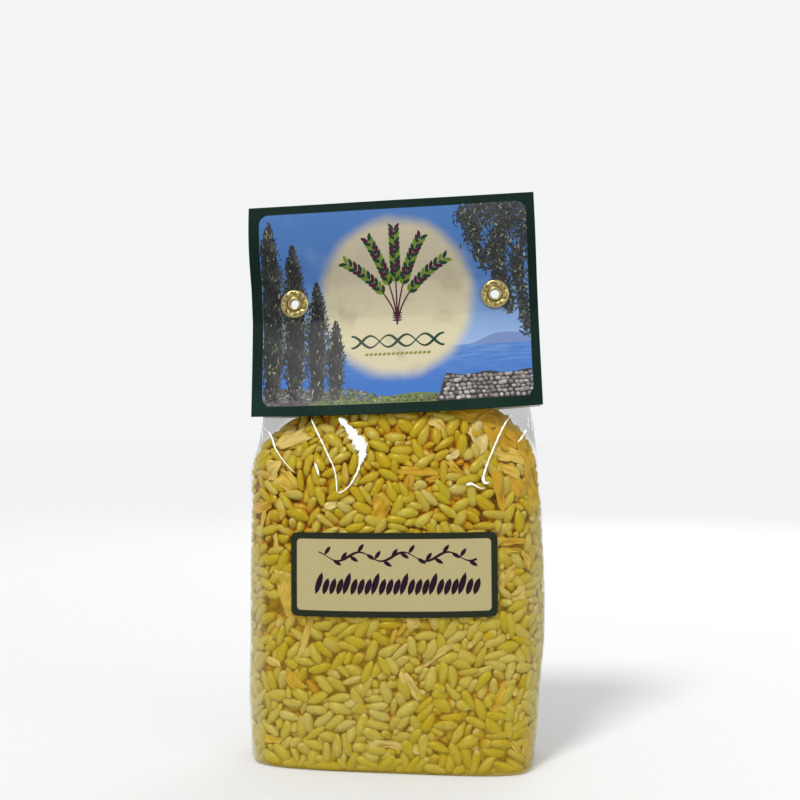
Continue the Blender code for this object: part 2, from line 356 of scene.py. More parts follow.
class Finish:
    """A node material under construction: add nodes, join them, set plain values."""

    def __init__(self, name):
        self.material = bpy.data.materials.new(name)
        self.material.use_nodes = True
        self.tree = self.material.node_tree
        self.shader = self.tree.nodes["Principled BSDF"]
        self.output = self.tree.nodes["Material Output"]

    def put(self, socket, value):
        """Sets a socket to a value, or joins it to another node's. Colours get alpha 1."""
        if isinstance(value, bpy.types.NodeSocket):
            self.tree.links.new(value, socket)
            return
        if socket.type == "RGBA":
            value = (*tuple(value)[:3], 1.0)
        socket.default_value = value

    def node(self, kind, settings=None, **inputs):
        """Adds a node. Input names are written with _ for spaces, or are numbered _0."""
        made = self.tree.nodes.new("ShaderNode" + kind)
        for key, value in (settings or {}).items():
            setattr(made, key, value)
        for key, value in inputs.items():
            if key[1:].isdigit():
                self.put(made.inputs[int(key[1:])], value)
            else:
                self.put(made.inputs[key.replace("_", " ")], value)
        return made

    def principled(self, **inputs):
        """Sets the Principled node's sockets."""
        for key, value in inputs.items():
            self.put(self.shader.inputs[key.replace("_", " ")], value)

    def math(self, operation, *values, clamp=False):
        """One step of arithmetic on sockets or plain numbers."""
        made = self.node("Math", {"operation": operation, "use_clamp": clamp})
        for socket, value in zip(made.inputs, values):
            self.put(socket, value)
        return made.outputs[0]

    def mix(self, share, a, b, blend="MIX"):
        """Mixes two colours by a share."""
        made = self.tree.nodes.new("ShaderNodeMix")
        made.data_type, made.blend_type = "RGBA", blend
        for socket, value in ((made.inputs[0], share), (made.inputs[6], a), (made.inputs[7], b)):
            self.put(socket, value)
        return made.outputs[2]

    def ramp(self, value, low, high, top=1.0, soft=True):
        """0 below low, top above high."""
        kind = "SMOOTHSTEP" if soft else "LINEAR"
        made = self.node("MapRange", {"interpolation_type": kind}, _0=value, _1=low, _2=high)
        return made.outputs[0] if top == 1.0 else self.math("MULTIPLY", made.outputs[0], top)

    def attribute(self, name, output="Fac"):
        """A named array of the mesh's points."""
        return self.node("Attribute", {"attribute_name": name}).outputs[output]

    def sheet(self):
        """The attribute sheet, millimetres on a flat print: whole, and its two parts."""
        whole = self.attribute("sheet", "Vector")
        parts = self.node("SeparateXYZ", Vector=whole).outputs
        return whole, parts[0], parts[1]

    def noise(self, scale, detail=2.0, vector=None):
        """Cloudy noise from 0 to 1, over the object's metres or another vector."""
        vector = vector or self.node("TexCoord").outputs["Object"]
        return self.node("TexNoise", Scale=scale, Detail=detail, Vector=vector).outputs["Fac"]

    def screened(self, tint, share, value):
        """A colour with a little of a value's light and dark laid over it."""
        grey = self.node("CombineColor", _0=value, _1=value, _2=value).outputs[0]
        return self.mix(share, tint, grey, "OVERLAY")

    def bump(self, height, distance, strength=1.0):
        """A normal tilted by a height, as if it stood out by so many metres."""
        made = self.node("Bump", Height=height, Distance=distance, Strength=strength)
        return made.outputs[0]


# ------------------------------------------------------------------ settings


def length(name, description, default):
    """A size in metres, entered in the scene's units."""
    return FloatProperty(
        name=name, description=description, default=default, min=0.0, precision=5,
        unit="LENGTH",
    )


def colour(name, description, default):
    """A linear colour."""
    return FloatVectorProperty(
        name=name, description=description, default=default, size=3, min=0.0, max=1.0,
        subtype="COLOR",
    )


class RiceSettings(PropertyGroup):
    count: IntProperty(
        name="Grains", description="How many grains lie in the outer layers",
        default=3600, min=200, max=6500,
    )
    grain_length: length("Grain length", "Length of a whole grain", 8.2 * MM)
    grain_width: length("Grain width", "Width of a grain seen flat", 3.9 * MM)
    grain_depth: length("Grain depth", "Thickness of a grain that lies flat", 2.95 * MM)
    layer: length("Layer depth", "How deep the loose grains reach under the film", 7.2 * MM)
    cream: colour("Cream grain", "The palest grains", (0.40, 0.333, 0.110))
    yellow: colour("Yellow grain", "The common grains", (0.345, 0.278, 0.003))
    saffron: colour("Saffron grain", "The deepest grains", (0.350, 0.240, 0.001))
    # Painted shade: the core's dark amber stands for the shaded rice deep between the grains.
    shadow: colour("Core", "What shows deep between the grains", (0.36, 0.125, 0.005))


class OnionSettings(PropertyGroup):
    thickness: length("Flake thickness", "Thickness of a dried onion flake", 0.35 * MM)
    scattered: IntProperty(
        name="Scattered flakes", description="Flakes on the sides and the back",
        default=44, min=0, max=200,
    )
    amber: colour("Amber flake", "The deepest flakes", (0.390, 0.212, 0.003))
    peach: colour("Peach flake", "The common flakes", (0.47, 0.315, 0.028))
    pale: colour("Pale flake", "The palest flakes", (0.50, 0.395, 0.145))


class FilmSettings(PropertyGroup):
    crease: FloatProperty(
        name="Fold steepness", description="Height of a sharp fold over half its width",
        default=0.9, min=0.0,
    )
    gusset: length("Edge fold height", "Height of the folds at the front's sides", 0.35 * MM)
    crinkle: length("Crinkle", "Height of the slow waves all over", 0.10 * MM)
    pleat: length("Pleat height", "Height of the pleats under the header", 0.35 * MM)
    # Partly saffron dust on the film, partly painted light: the golden glow of light that comes
    # through the grains.
    dust_and_glow: colour("Dust", "Saffron dust that clouds the film over the rice", (0.56, 0.405, 0.035))
    # Partly the film's milky side folds, partly a painted reflection of the bright surroundings.
    cloud: colour("Cloud", "The pale haze at the film's sides", (0.62, 0.575, 0.37))
    # Painted highlight: the colour of the bright line along a sharp fold.
    fold: colour("Fold", "The white of a sharp fold", (0.92, 0.91, 0.86))


class CardSettings(PropertyGroup):
    border: colour("Border", "The dark green border", (0.0035, 0.013, 0.009))
    sky_high: colour("High sky", "The sky at the top", (0.049, 0.120, 0.295))
    sky_low: colour("Low sky", "The sky by the horizon", (0.22, 0.32, 0.50))
    sea: colour("Sea", "The water", (0.055, 0.140, 0.36))
    cream: colour("Cream field", "The soft field in the middle", (0.47, 0.42, 0.27))
    border_width: length("Border width", "Width of the border", 3.5 * MM)
    corner: length("Corner", "Radius of the picture's corners", 3.4 * MM)


class EyeletSettings(PropertyGroup):
    flange: length("Flange radius", "Outer radius of an eyelet", 5.15 * MM)
    bore: length("Bore radius", "Radius of the hole", 1.6 * MM)
    marks: IntProperty(
        name="Marks", description="Pressed marks round a flange", default=7, min=0,
    )
    brass: colour("Brass", "The metal's colour", (0.40, 0.33, 0.14))
    hollow: colour("Hollow", "The metal where it is sunk and dull", (0.135, 0.092, 0.028))


class LabelSettings(PropertyGroup):
    thickness: length("Thickness", "Thickness of the label", 0.25 * MM)
    border_width: length("Border width", "Width of the dark border", 2.15 * MM)
    corner: length("Corner", "Radius of the label's corners", 2.0 * MM)
    field: colour("Field", "The cream paper", (0.355, 0.305, 0.152))
    border: colour("Border", "The dark border", (0.008, 0.011, 0.005))
    ink: colour("Ornament", "The plum ornament", (0.010, 0.0015, 0.009))


class StageSettings(PropertyGroup):
    floor: colour("Floor", "The pale floor", (0.61, 0.61, 0.61))
    distance: length("Camera distance", "From the pack to the camera", 0.4)
    height: length("Camera height", "Above the floor", 113.5 * MM)
    azimuth: FloatProperty(
        name="Camera azimuth", description="How far the camera is to the right",
        default=float(np.radians(5.0)), subtype="ANGLE",
    )
    lens: FloatProperty(
        name="Focal length", description="Of a camera with a 36 mm sensor",
        default=50.27, min=1.0, unit="CAMERA",
    )


# ---------------------------------------------------------------- dried onion

# Flakes that show on the front: x, height, length and width in mm, turn in degrees,
# tone (0 amber, 0.5 peach, 1 pale) and curl in mm.
FRONT_FLAKES = (
    (-36.8, 115.6, 13.5, 7.0, 20, 0.8, 0.2),
    (-38.5, 112.6, 9.0, 2.6, 5, 0.0, 0.4),
    (-38.1, 99.6, 12.0, 6.5, -35, 0.5, 1.6),
    (-42.5, 103.0, 9.0, 4.0, 70, 0.65, 1.0),
    (-44.5, 105.0, 6.0, 3.6, 50, 0.8, 0.8),
    (8.7, 102.9, 15.5, 2.9, -4, 0.05, 0.9),
    (6.0, 99.2, 5.5, 3.8, 80, 0.15, 0.7),
    (14.5, 100.5, 6.0, 1.6, 25, 0.05, 0.6),
    (-3.8, 90.3, 8.5, 6.0, 68, 0.0, 0.6),
    (21.6, 103.6, 8.5, 2.2, -48, 0.1, 0.6),
    (29.7, 114.5, 12.0, 6.2, -62, 0.95, 0.4),
    (20.9, 108.0, 5.0, 2.3, 30, 1.0, 0.6),
    (14.9, 119.0, 7.0, 3.3, -38, 0.7, 0.5),
    (26.0, 121.5, 15.0, 4.5, -20, 0.0, 0.8),
    (36.6, 114.9, 14.0, 9.0, -40, 0.05, 0.3),
    (40.7, 107.6, 13.0, 5.0, -12, 0.6, 0.4),
    (41.0, 102.8, 7.5, 4.0, -25, 0.35, 0.4),
    (42.5, 98.5, 12.0, 5.0, -70, 0.0, 0.4),
    (47.2, 104.5, 17.0, 6.0, -78, 0.05, 0.3),
    (36.9, 97.0, 14.0, 4.2, -84, 0.0, 0.4),
    (48.0, 94.5, 13.0, 6.0, -62, 0.15, 0.4),
    (33.5, 119.8, 15.0, 7.0, 25, 0.0, 0.3),
    (41.5, 115.5, 14.0, 7.0, -60, 0.05, 0.3),
    (45.5, 110.0, 14.0, 7.0, -55, 0.1, 0.3),
    (29.0, 123.0, 16.0, 6.0, -12, 0.0, 0.3),
    (39.0, 120.0, 12.0, 6.0, -40, 0.1, 0.3),
    (41.7, 78.9, 13.0, 2.4, 3, 0.2, 0.8),
    (42.4, 75.1, 11.5, 2.0, -5, 0.35, 0.7),
    (40.0, 67.3, 13.0, 3.3, 42, 0.65, 0.7),
    (43.8, 60.7, 5.2, 4.6, 0, 0.9, 0.3),
    (46.6, 72.1, 6.5, 2.8, -60, 0.4, 0.6),
    (-37.7, 60.8, 17.5, 5.4, -64, 0.55, 0.9),
    (-33.2, 54.1, 10.5, 4.3, -40, 0.4, 0.8),
    (-28.8, 48.2, 20.5, 2.4, 80, 0.75, 0.5),
    (-42.3, 36.1, 8.2, 2.2, -12, 0.85, 0.4),
    (-33.9, 30.3, 10.5, 3.6, -40, 0.2, 0.5),
    (16.7, 41.2, 14.0, 2.3, 33, 0.85, 0.4),
    (6.9, 30.6, 11.0, 3.2, -54, 0.85, 0.5),
    (36.9, 24.8, 10.5, 3.3, 62, 0.2, 0.5),
    (-0.9, 10.1, 11.5, 2.6, -6, 0.95, 0.6),
    (43.0, 9.1, 6.5, 1.8, -55, 0.7, 0.4),
    (-42.2, 8.9, 6.5, 2.8, -8, 0.5, 0.4),
    (7.6, 51.9, 5.5, 4.6, -60, 0.85, 0.4),
    (1.1, 46.7, 7.5, 1.3, 75, 0.1, 0.4),
    (3.8, 49.1, 5.0, 1.5, 60, 0.1, 0.4),
    (-41.3, 78.6, 5.5, 2.2, -70, 0.6, 0.5),
    (-21.2, 91.2, 5.0, 2.8, 20, 0.95, 0.4),
    (-46.6, 85.3, 7.0, 2.2, 70, 0.5, 0.6),
)
FLAKE_RINGS, FLAKE_SPOKES = 8, 28
AMBER_VEIN, PALE_VEIN, DARK_VEIN = (0.47, 0.315, 0.03), (0.55, 0.46, 0.22), (0.27, 0.115, 0.003)


def angle_on_front(x, height):
    """The section's angle at a place across the front, by looking it up in a table."""
    angle = np.linspace(np.pi, 2.0 * np.pi, 721)
    shape = section(angle[None, :], height[:, None], HEAP_STATIONS)
    run = shape[..., 0] + along(HEAP_STATIONS, 3, height)[:, None] * MM
    return np.array([np.interp(a, r, angle) for a, r in zip(x, run)])


def flake_list(count, rng):
    """All flakes as rows: angle, height, length, width, turn, tone and curl."""
    front = np.array(FRONT_FLAKES)
    front[:, (0, 1, 2, 3, 6)] *= MM
    front[:, 4] = np.radians(front[:, 4])
    front[:, 0] = angle_on_front(front[:, 0], front[:, 1])
    around = (
        rng.uniform(-0.12, 1.12, count) * np.pi,
        rng.uniform(8.0, 118.0, count) * MM,
        rng.uniform(6.0, 17.0, count) * MM,
        rng.uniform(2.0, 7.5, count) * MM,
        rng.uniform(-np.pi, np.pi, count),
        rng.uniform(0.0, 1.0, count),
        rng.uniform(0.4, 1.1, count) * MM,
    )
    return np.concatenate((front, np.stack(around, -1)))


def flake_grids(flakes, rng):
    """Points of each flake, ring by ring, laid against the heap's side.

    A flake is an ellipse whose outline wanders by slow waves. It is turned in the
    side's tangent plane and dips under the side by its curl times a saddle, with ribs
    along its length. Returns the points, their depths and their place on the flake.
    """
    ring = np.linspace(0.0, 1.0, FLAKE_RINGS)[None, :, None]
    spoke = np.linspace(0.0, 2.0 * np.pi, FLAKE_SPOKES, endpoint=False)[None, None, :]
    angle, height, long, wide, turn, _, curl = flakes.T[:, :, None, None]
    size = (len(flakes), 1, 1)
    outline = 1.0 + sum(
        0.17 / k**0.5 * np.sin(k * spoke + rng.uniform(0.0, 2.0 * np.pi, size))
        for k in (2, 3, 5, 8, 12)
    )
    square = 1.0 / np.maximum(np.abs(np.cos(spoke)), np.abs(np.sin(spoke))) ** 0.6
    s = 0.5 * long * ring * outline * square * np.cos(spoke)
    t = 0.5 * wide * ring * outline * square * np.sin(spoke)
    bow = rng.uniform(-1.0, 1.0, size)
    centre = at_depth(section(angle, height, HEAP_STATIONS), 0.0 * angle)
    _, normal = wall(centre)
    across = np.cross((0.0, 0.0, 1.0), normal)
    across /= np.linalg.norm(across, axis=-1, keepdims=True)
    up = np.cross(normal, across)
    bent = t + 0.10 * long * (2.0 * s / long) ** 2 * bow
    right = s * np.cos(turn) - bent * np.sin(turn)
    rise = s * np.sin(turn) + bent * np.cos(turn)
    points = centre + across * right[..., None] + up * rise[..., None]
    points[..., 2] = np.clip(points[..., 2], 1.5 * MM, 132.0 * MM)
    ribs = sum(
        np.sin(k * t / (0.5 * MM) + rng.uniform(-5.0, 5.0, size) * s / long + start)
        for k, start in zip(rng.uniform(0.5, 1.8, (3, *size)), rng.uniform(0.0, 6.0, (3, *size)))
    )
    fold = np.sin(2.6 * s / wide.clip(3 * MM) + rng.uniform(0.0, 6.0, size))
    saddle = (2.0 * s / long) ** 2 + (0.35 + 0.4 * ring) * fold
    creased = sum(
        np.sin(a * s / (1.3 * MM) + b * t / (1.3 * MM) + c)
        for a, b, c in zip(*(rng.uniform(-1.6, 1.6, (4, *size)) for _ in range(2)),
                           rng.uniform(0.0, 6.0, (4, *size)))
    )
    sunk = rng.uniform(0.15, 0.6, size) * MM
    depth = sunk + curl * np.clip(0.2 + 0.7 * saddle, 0.0, None) + 0.055 * MM * ribs
    depth = depth + 0.36 * MM * creased * smoothstep(0.0, 0.5, ring)
    start = rng.uniform(0.0, 50.0, size)
    place = np.stack((0.10 * s / MM + start, 1.3 * t / MM, start + 0.0 * s), -1)
    return points, depth, place


# ------------------------------------------------------------------ the rice

# The balls that stand for a grain's ends, its middle and a place on a flake, how far
# a grain reaches past its end balls, and what room the film leaves.
END_BALL, MIDDLE_BALL, FLAKE_BALL = 1.22 * MM, 1.54 * MM, 0.5 * MM
PAST_BALLS, UNDER_FILM = 1.45 * MM, 0.06 * MM
POUR_STEPS, QUICK_POUR_STEPS = 170, 36
# How much of its slope to the film a grain loses at first, and the broken grains.
LYING_FLAT = 0.66
BROKEN_SHARE, BROKEN_LENGTH = 0.04, 0.62
# Where the front's grains took up the most saffron: x, height and reach, in mm.
SATURATED = np.array(
    ((22.0, 15.0, 9.0), (33.0, 9.0, 7.0), (-8.0, 37.0, 5.0), (16.0, 22.0, 5.0), (-3.0, 51.0, 4.0))
)
GRAIN_RINGS = np.array((-0.96, -0.79, -0.44, 0.0, 0.44, 0.79, 0.96))
GRAIN_SPOKES = 8
# Colours: a grain's chalky belly and pale tips, a dull grain, the painted shade of grains deep in
# the layer and between them, and the lighter half of the core's painted shade.
CHALKY, PALE_TIP = (0.49, 0.458, 0.18), (0.50, 0.45, 0.22)
DULL, PAINTED_CREVICE_SHADE, CORE_LIGHT = (0.32, 0.215, 0.008), (0.42, 0.152, 0.001), (0.46, 0.21, 0.012)


def close_pairs(points, reach):
    """Pairs of points closer than reach: sorted into cubes, each met with 13 others."""
    cell = np.floor((points - points.min(0)) / reach).astype(np.int64) + 1
    size = cell.max(0) + 2
    key = (cell[:, 0] * size[1] + cell[:, 1]) * size[2] + cell[:, 2]
    order = np.argsort(key, kind="stable")
    key, placed, number = key[order], points[order], np.arange(len(points))
    found = []
    steps = np.stack(np.meshgrid(*[(-1, 0, 1)] * 3, indexing="ij"), -1).reshape(-1, 3)
    for dx, dy, dz in steps[13:]:
        target = key + (dx * size[1] + dy) * size[2] + dz
        low = np.searchsorted(key, target, "left")
        high = np.searchsorted(key, target, "right")
        if dx == dy == dz == 0:
            low = number + 1
        many = np.maximum(high - low, 0)
        i = np.repeat(number, many)
        j = np.arange(len(i)) - np.repeat(np.cumsum(many) - many, many) + np.repeat(low, many)
        near = ((placed[i] - placed[j]) ** 2).sum(1) < reach**2
        found.append(np.stack((order[i[near]], order[j[near]])))
    return np.concatenate(found, 1)


def sample_layer(count, layer, rng):
    """Random points in the layer under the film."""
    kept = np.zeros((0, 3))
    low = np.array((-53.0, -22.0, 1.0)) * MM
    high = np.array((53.0, 22.0, 133.0)) * MM
    while len(kept) < count:
        points = rng.uniform(low, high, (count * 10, 3))
        depth = np.minimum(wall(points)[0], points[:, 2])
        good = (depth > 1.2 * MM) & (depth < layer - 1.0 * MM)
        kept = np.concatenate((kept, points[good]))
    return kept[:count]


def pour_rice(count, half, thick, layer, blocks, steps, rng):
    """Lets grains swell and push each other until they lie packed under the film.

    A grain is three balls in a row. In each step balls that overlap move apart,
    balls outside the layer move back into it, all drift out to the film, and each
    grain's ends return to their distance. blocks are still balls: the onion.
    """
    centre = sample_layer(count, layer, rng)
    _, normal = wall(centre)
    axis = rng.normal(size=(count, 3))
    axis -= LYING_FLAT * (axis * normal).sum(1)[:, None] * normal
    axis /= np.linalg.norm(axis, axis=1)[:, None]
    a, b = centre - axis * half[:, None], centre + axis * half[:, None]
    radius = np.concatenate((END_BALL * thick, END_BALL * thick, MIDDLE_BALL * thick))
    radius = np.concatenate((radius, np.full(len(blocks), FLAKE_BALL)))
    owner = np.concatenate((np.tile(np.arange(count), 3), np.full(len(blocks), -1)))
    down = np.array((0.0, 0.0, -1.0))
    ball = radius[: 3 * count]
    for step in range(steps):
        grown = min(1.0, 0.72 + 0.56 * step / steps)
        balls = np.concatenate((a, b, 0.5 * (a + b), blocks))
        if step % 6 == 0:
            i, j = close_pairs(balls, 2.0 * radius.max() + 0.5 * MM)
            apart = owner[i] != owner[j]
            i, j = i[apart], j[apart]
        gap = balls[i] - balls[j]
        distance = np.linalg.norm(gap, axis=1) + 1e-9
        over = grown * (radius[i] + radius[j]) - distance
        hit = over > 0
        push = gap[hit] * (0.5 * over[hit] / distance[hit])[:, None]
        ih, jh, total = i[hit], j[hit], len(balls)
        move = [np.bincount(ih, p, total) - np.bincount(jh, p, total) for p in push.T]
        move = np.stack(move, 1)
        times = np.bincount(ih, minlength=total) + np.bincount(jh, minlength=total)
        move = (move / np.maximum(1.0, 0.55 * times)[:, None])[: 3 * count]
        balls = balls[: 3 * count] + move
        depth, normal = wall(balls)
        short = np.maximum(ball * grown - depth, 0.0)
        low = np.maximum(ball * grown + 0.15 * MM - balls[:, 2], 0.0)
        outward = np.where((depth < balls[:, 2])[:, None], normal, down)
        deep = np.maximum(np.minimum(depth, balls[:, 2]) - (layer - ball), 0.0)
        drift = 0.01 * MM * (1.0 - step / steps) * ((short <= 0) & (low <= 0))
        move += outward * (0.5 * deep + drift)[:, None] - normal * short[:, None]
        move[:, 2] += low
        a = a + 0.8 * move[:count] + 0.45 * move[2 * count :]
        b = b + 0.8 * move[count : 2 * count] + 0.45 * move[2 * count :]
        centre, axis = 0.5 * (a + b), b - a
        axis /= np.linalg.norm(axis, axis=1)[:, None]
        a, b = centre - axis * half[:, None], centre + axis * half[:, None]
    return centre, axis


def grain_points(centre, axis, flat, size, rng):
    """Every grain's points: rings along its axis that narrow to two small tips.

    A ring at t from -1 to 1 has the radius (1 - |t|^p)^0.52, where p differs from grain
    to grain, and is fuller towards one end. The grain bows to one side as 1 - t^2, its
    germ end hooks over as t^3, its ends are cut at a slant, and low ribs run along it.
    The tips are points.
    """
    count = len(centre)
    t = np.concatenate(((-1.0,), GRAIN_RINGS, (1.0,)))[None, :, None]
    spoke = np.linspace(0.0, 2.0 * np.pi, GRAIN_SPOKES, endpoint=False)[None, None, :]
    fuller = rng.uniform(-0.24, 0.24, (count, 1, 1))
    blunt = rng.uniform(1.9, 3.5, (count, 1, 1))
    radius = np.clip(1.0 - np.abs(t) ** blunt, 0.0, None) ** 0.52 * (1.0 + fuller * t)
    radius = radius * (1.0 + 0.09 * rng.normal(size=(count, 1, GRAIN_SPOKES)))
    radius = radius * (1.0 + 0.05 * rng.normal(size=(count, len(GRAIN_RINGS) + 2, 1)))
    bow = rng.uniform(-0.18, 0.18, (count, 1, 1)) * (1.0 - t**2)
    hook = rng.uniform(-0.38, 0.38, (count, 1, 1)) * np.clip(t, 0.0, None) ** 3
    slant = rng.normal(0.0, 0.28, (count, 1, 1)) * t**2 * radius * np.cos(spoke)
    x = 0.5 * (size[:, 0, None, None] * t + size[:, 1, None, None] * slant)
    y = 0.5 * size[:, 1, None, None] * (radius * np.cos(spoke) + bow + hook)
    z = 0.5 * size[:, 2, None, None] * radius * np.sin(spoke)
    side = np.cross(flat, axis)
    points = (
        centre[:, None, None]
        + axis[:, None, None] * x[..., None]
        + side[:, None, None] * y[..., None]
        + flat[:, None, None] * z[..., None]
    )
    local = np.stack((0.15 * x, y + 0.0 * x, z + 0.0 * x), -1) / MM
    local = local + rng.uniform(0.0, 60.0, (count, 1, 1, 3))
    return [
        np.concatenate((a[:, 1:-1].reshape(count, -1, 3), a[:, 0, :1], a[:, -1, :1]), 1)
        for a in (points, local)
    ]


def grain_faces(count):
    """Quads between the rings, and a fan of triangles at each end, for all grains."""
    rings, spokes = len(GRAIN_RINGS), GRAIN_SPOKES
    points = rings * spokes + 2
    quads = grid_quads(rings, spokes, closed=True)[:, ::-1]
    here = np.arange(spokes)
    after = (here + 1) % spokes
    last = (rings - 1) * spokes
    first_end = np.stack((here, after, np.full(spokes, rings * spokes)), -1)
    last_end = np.stack((last + after, last + here, np.full(spokes, rings * spokes + 1)), -1)
    ends = np.concatenate((first_end, last_end))
    return repeated(quads, count, points), repeated(ends, count, points)


def slow_noise(points, scale, rng, waves=7):
    """A smooth random field from -1 to 1: a sum of sine waves in random directions."""
    ways = rng.normal(size=(waves, 3)) / scale
    start = rng.uniform(0.0, 2.0 * np.pi, waves)
    return np.sin(points @ ways.T + start).sum(-1) / np.sqrt(waves)


def kept_inside(points, least):
    """Points that are less than so deep under the film, moved straight in."""
    for _ in range(2):
        depth, outward = wall(points)
        points = points - outward * np.maximum(least - depth, 0.0)[..., None]
    return points


def rice_material(name, tint, deeper):
    """Waxy grain that light soaks into: mottled, a little paler at its tips.

    The attribute under grows with the depth under the film and where the grain's side turns away
    from it: there the colour is darkened to amber as painted shade, standing for the shade and the
    light filtered through other grains there.
    """
    f = Finish(name)
    tone, tip = f.attribute("tone"), f.attribute("tip")
    base = f.mix(tone, tint, deeper)
    streak = f.noise(1.1, 2.0, f.attribute("local", "Vector"))
    stain = f.ramp(streak, 0.48, 0.66, 0.65)
    base = f.mix(stain, base, deeper)
    cloudy = f.math("MULTIPLY", f.attribute("belly"), f.ramp(f.noise(330.0, 3.0), 0.30, 0.75))
    cloudy = f.math("MULTIPLY", cloudy, f.attribute("chalk"))
    base = f.mix(cloudy, base, CHALKY)
    pale = f.math("MULTIPLY", f.ramp(tip, 0.72, 1.0), f.attribute("chalk"))
    base = f.mix(pale, base, PALE_TIP)
    base = f.mix(f.attribute("dull"), base, DULL)
    # Painted shade: darker amber deep in the layer and where a grain's side turns from the film.
    crevice_shade = f.ramp(f.attribute("under"), 0.75, 2.7, 0.92)
    base = f.mix(crevice_shade, base, PAINTED_CREVICE_SHADE)
    f.principled(
        Base_Color=base,
        Roughness=f.ramp(f.noise(700.0), -0.3, 2.1, soft=False),
        Normal=f.bump(streak, 0.35 * MM, 0.6),
        Specular_IOR_Level=0.30,
        Specular_Tint=(0.95, 0.97, 0.40),
        Sheen_Weight=0.12,
        Sheen_Roughness=0.4,
        Sheen_Tint=(1.0, 0.85, 0.20),
        Subsurface_Weight=0.3,
        Subsurface_Scale=1.5 * MM,
        Subsurface_Radius=(1.0, 0.8, 0.2),
    )
    return f.material


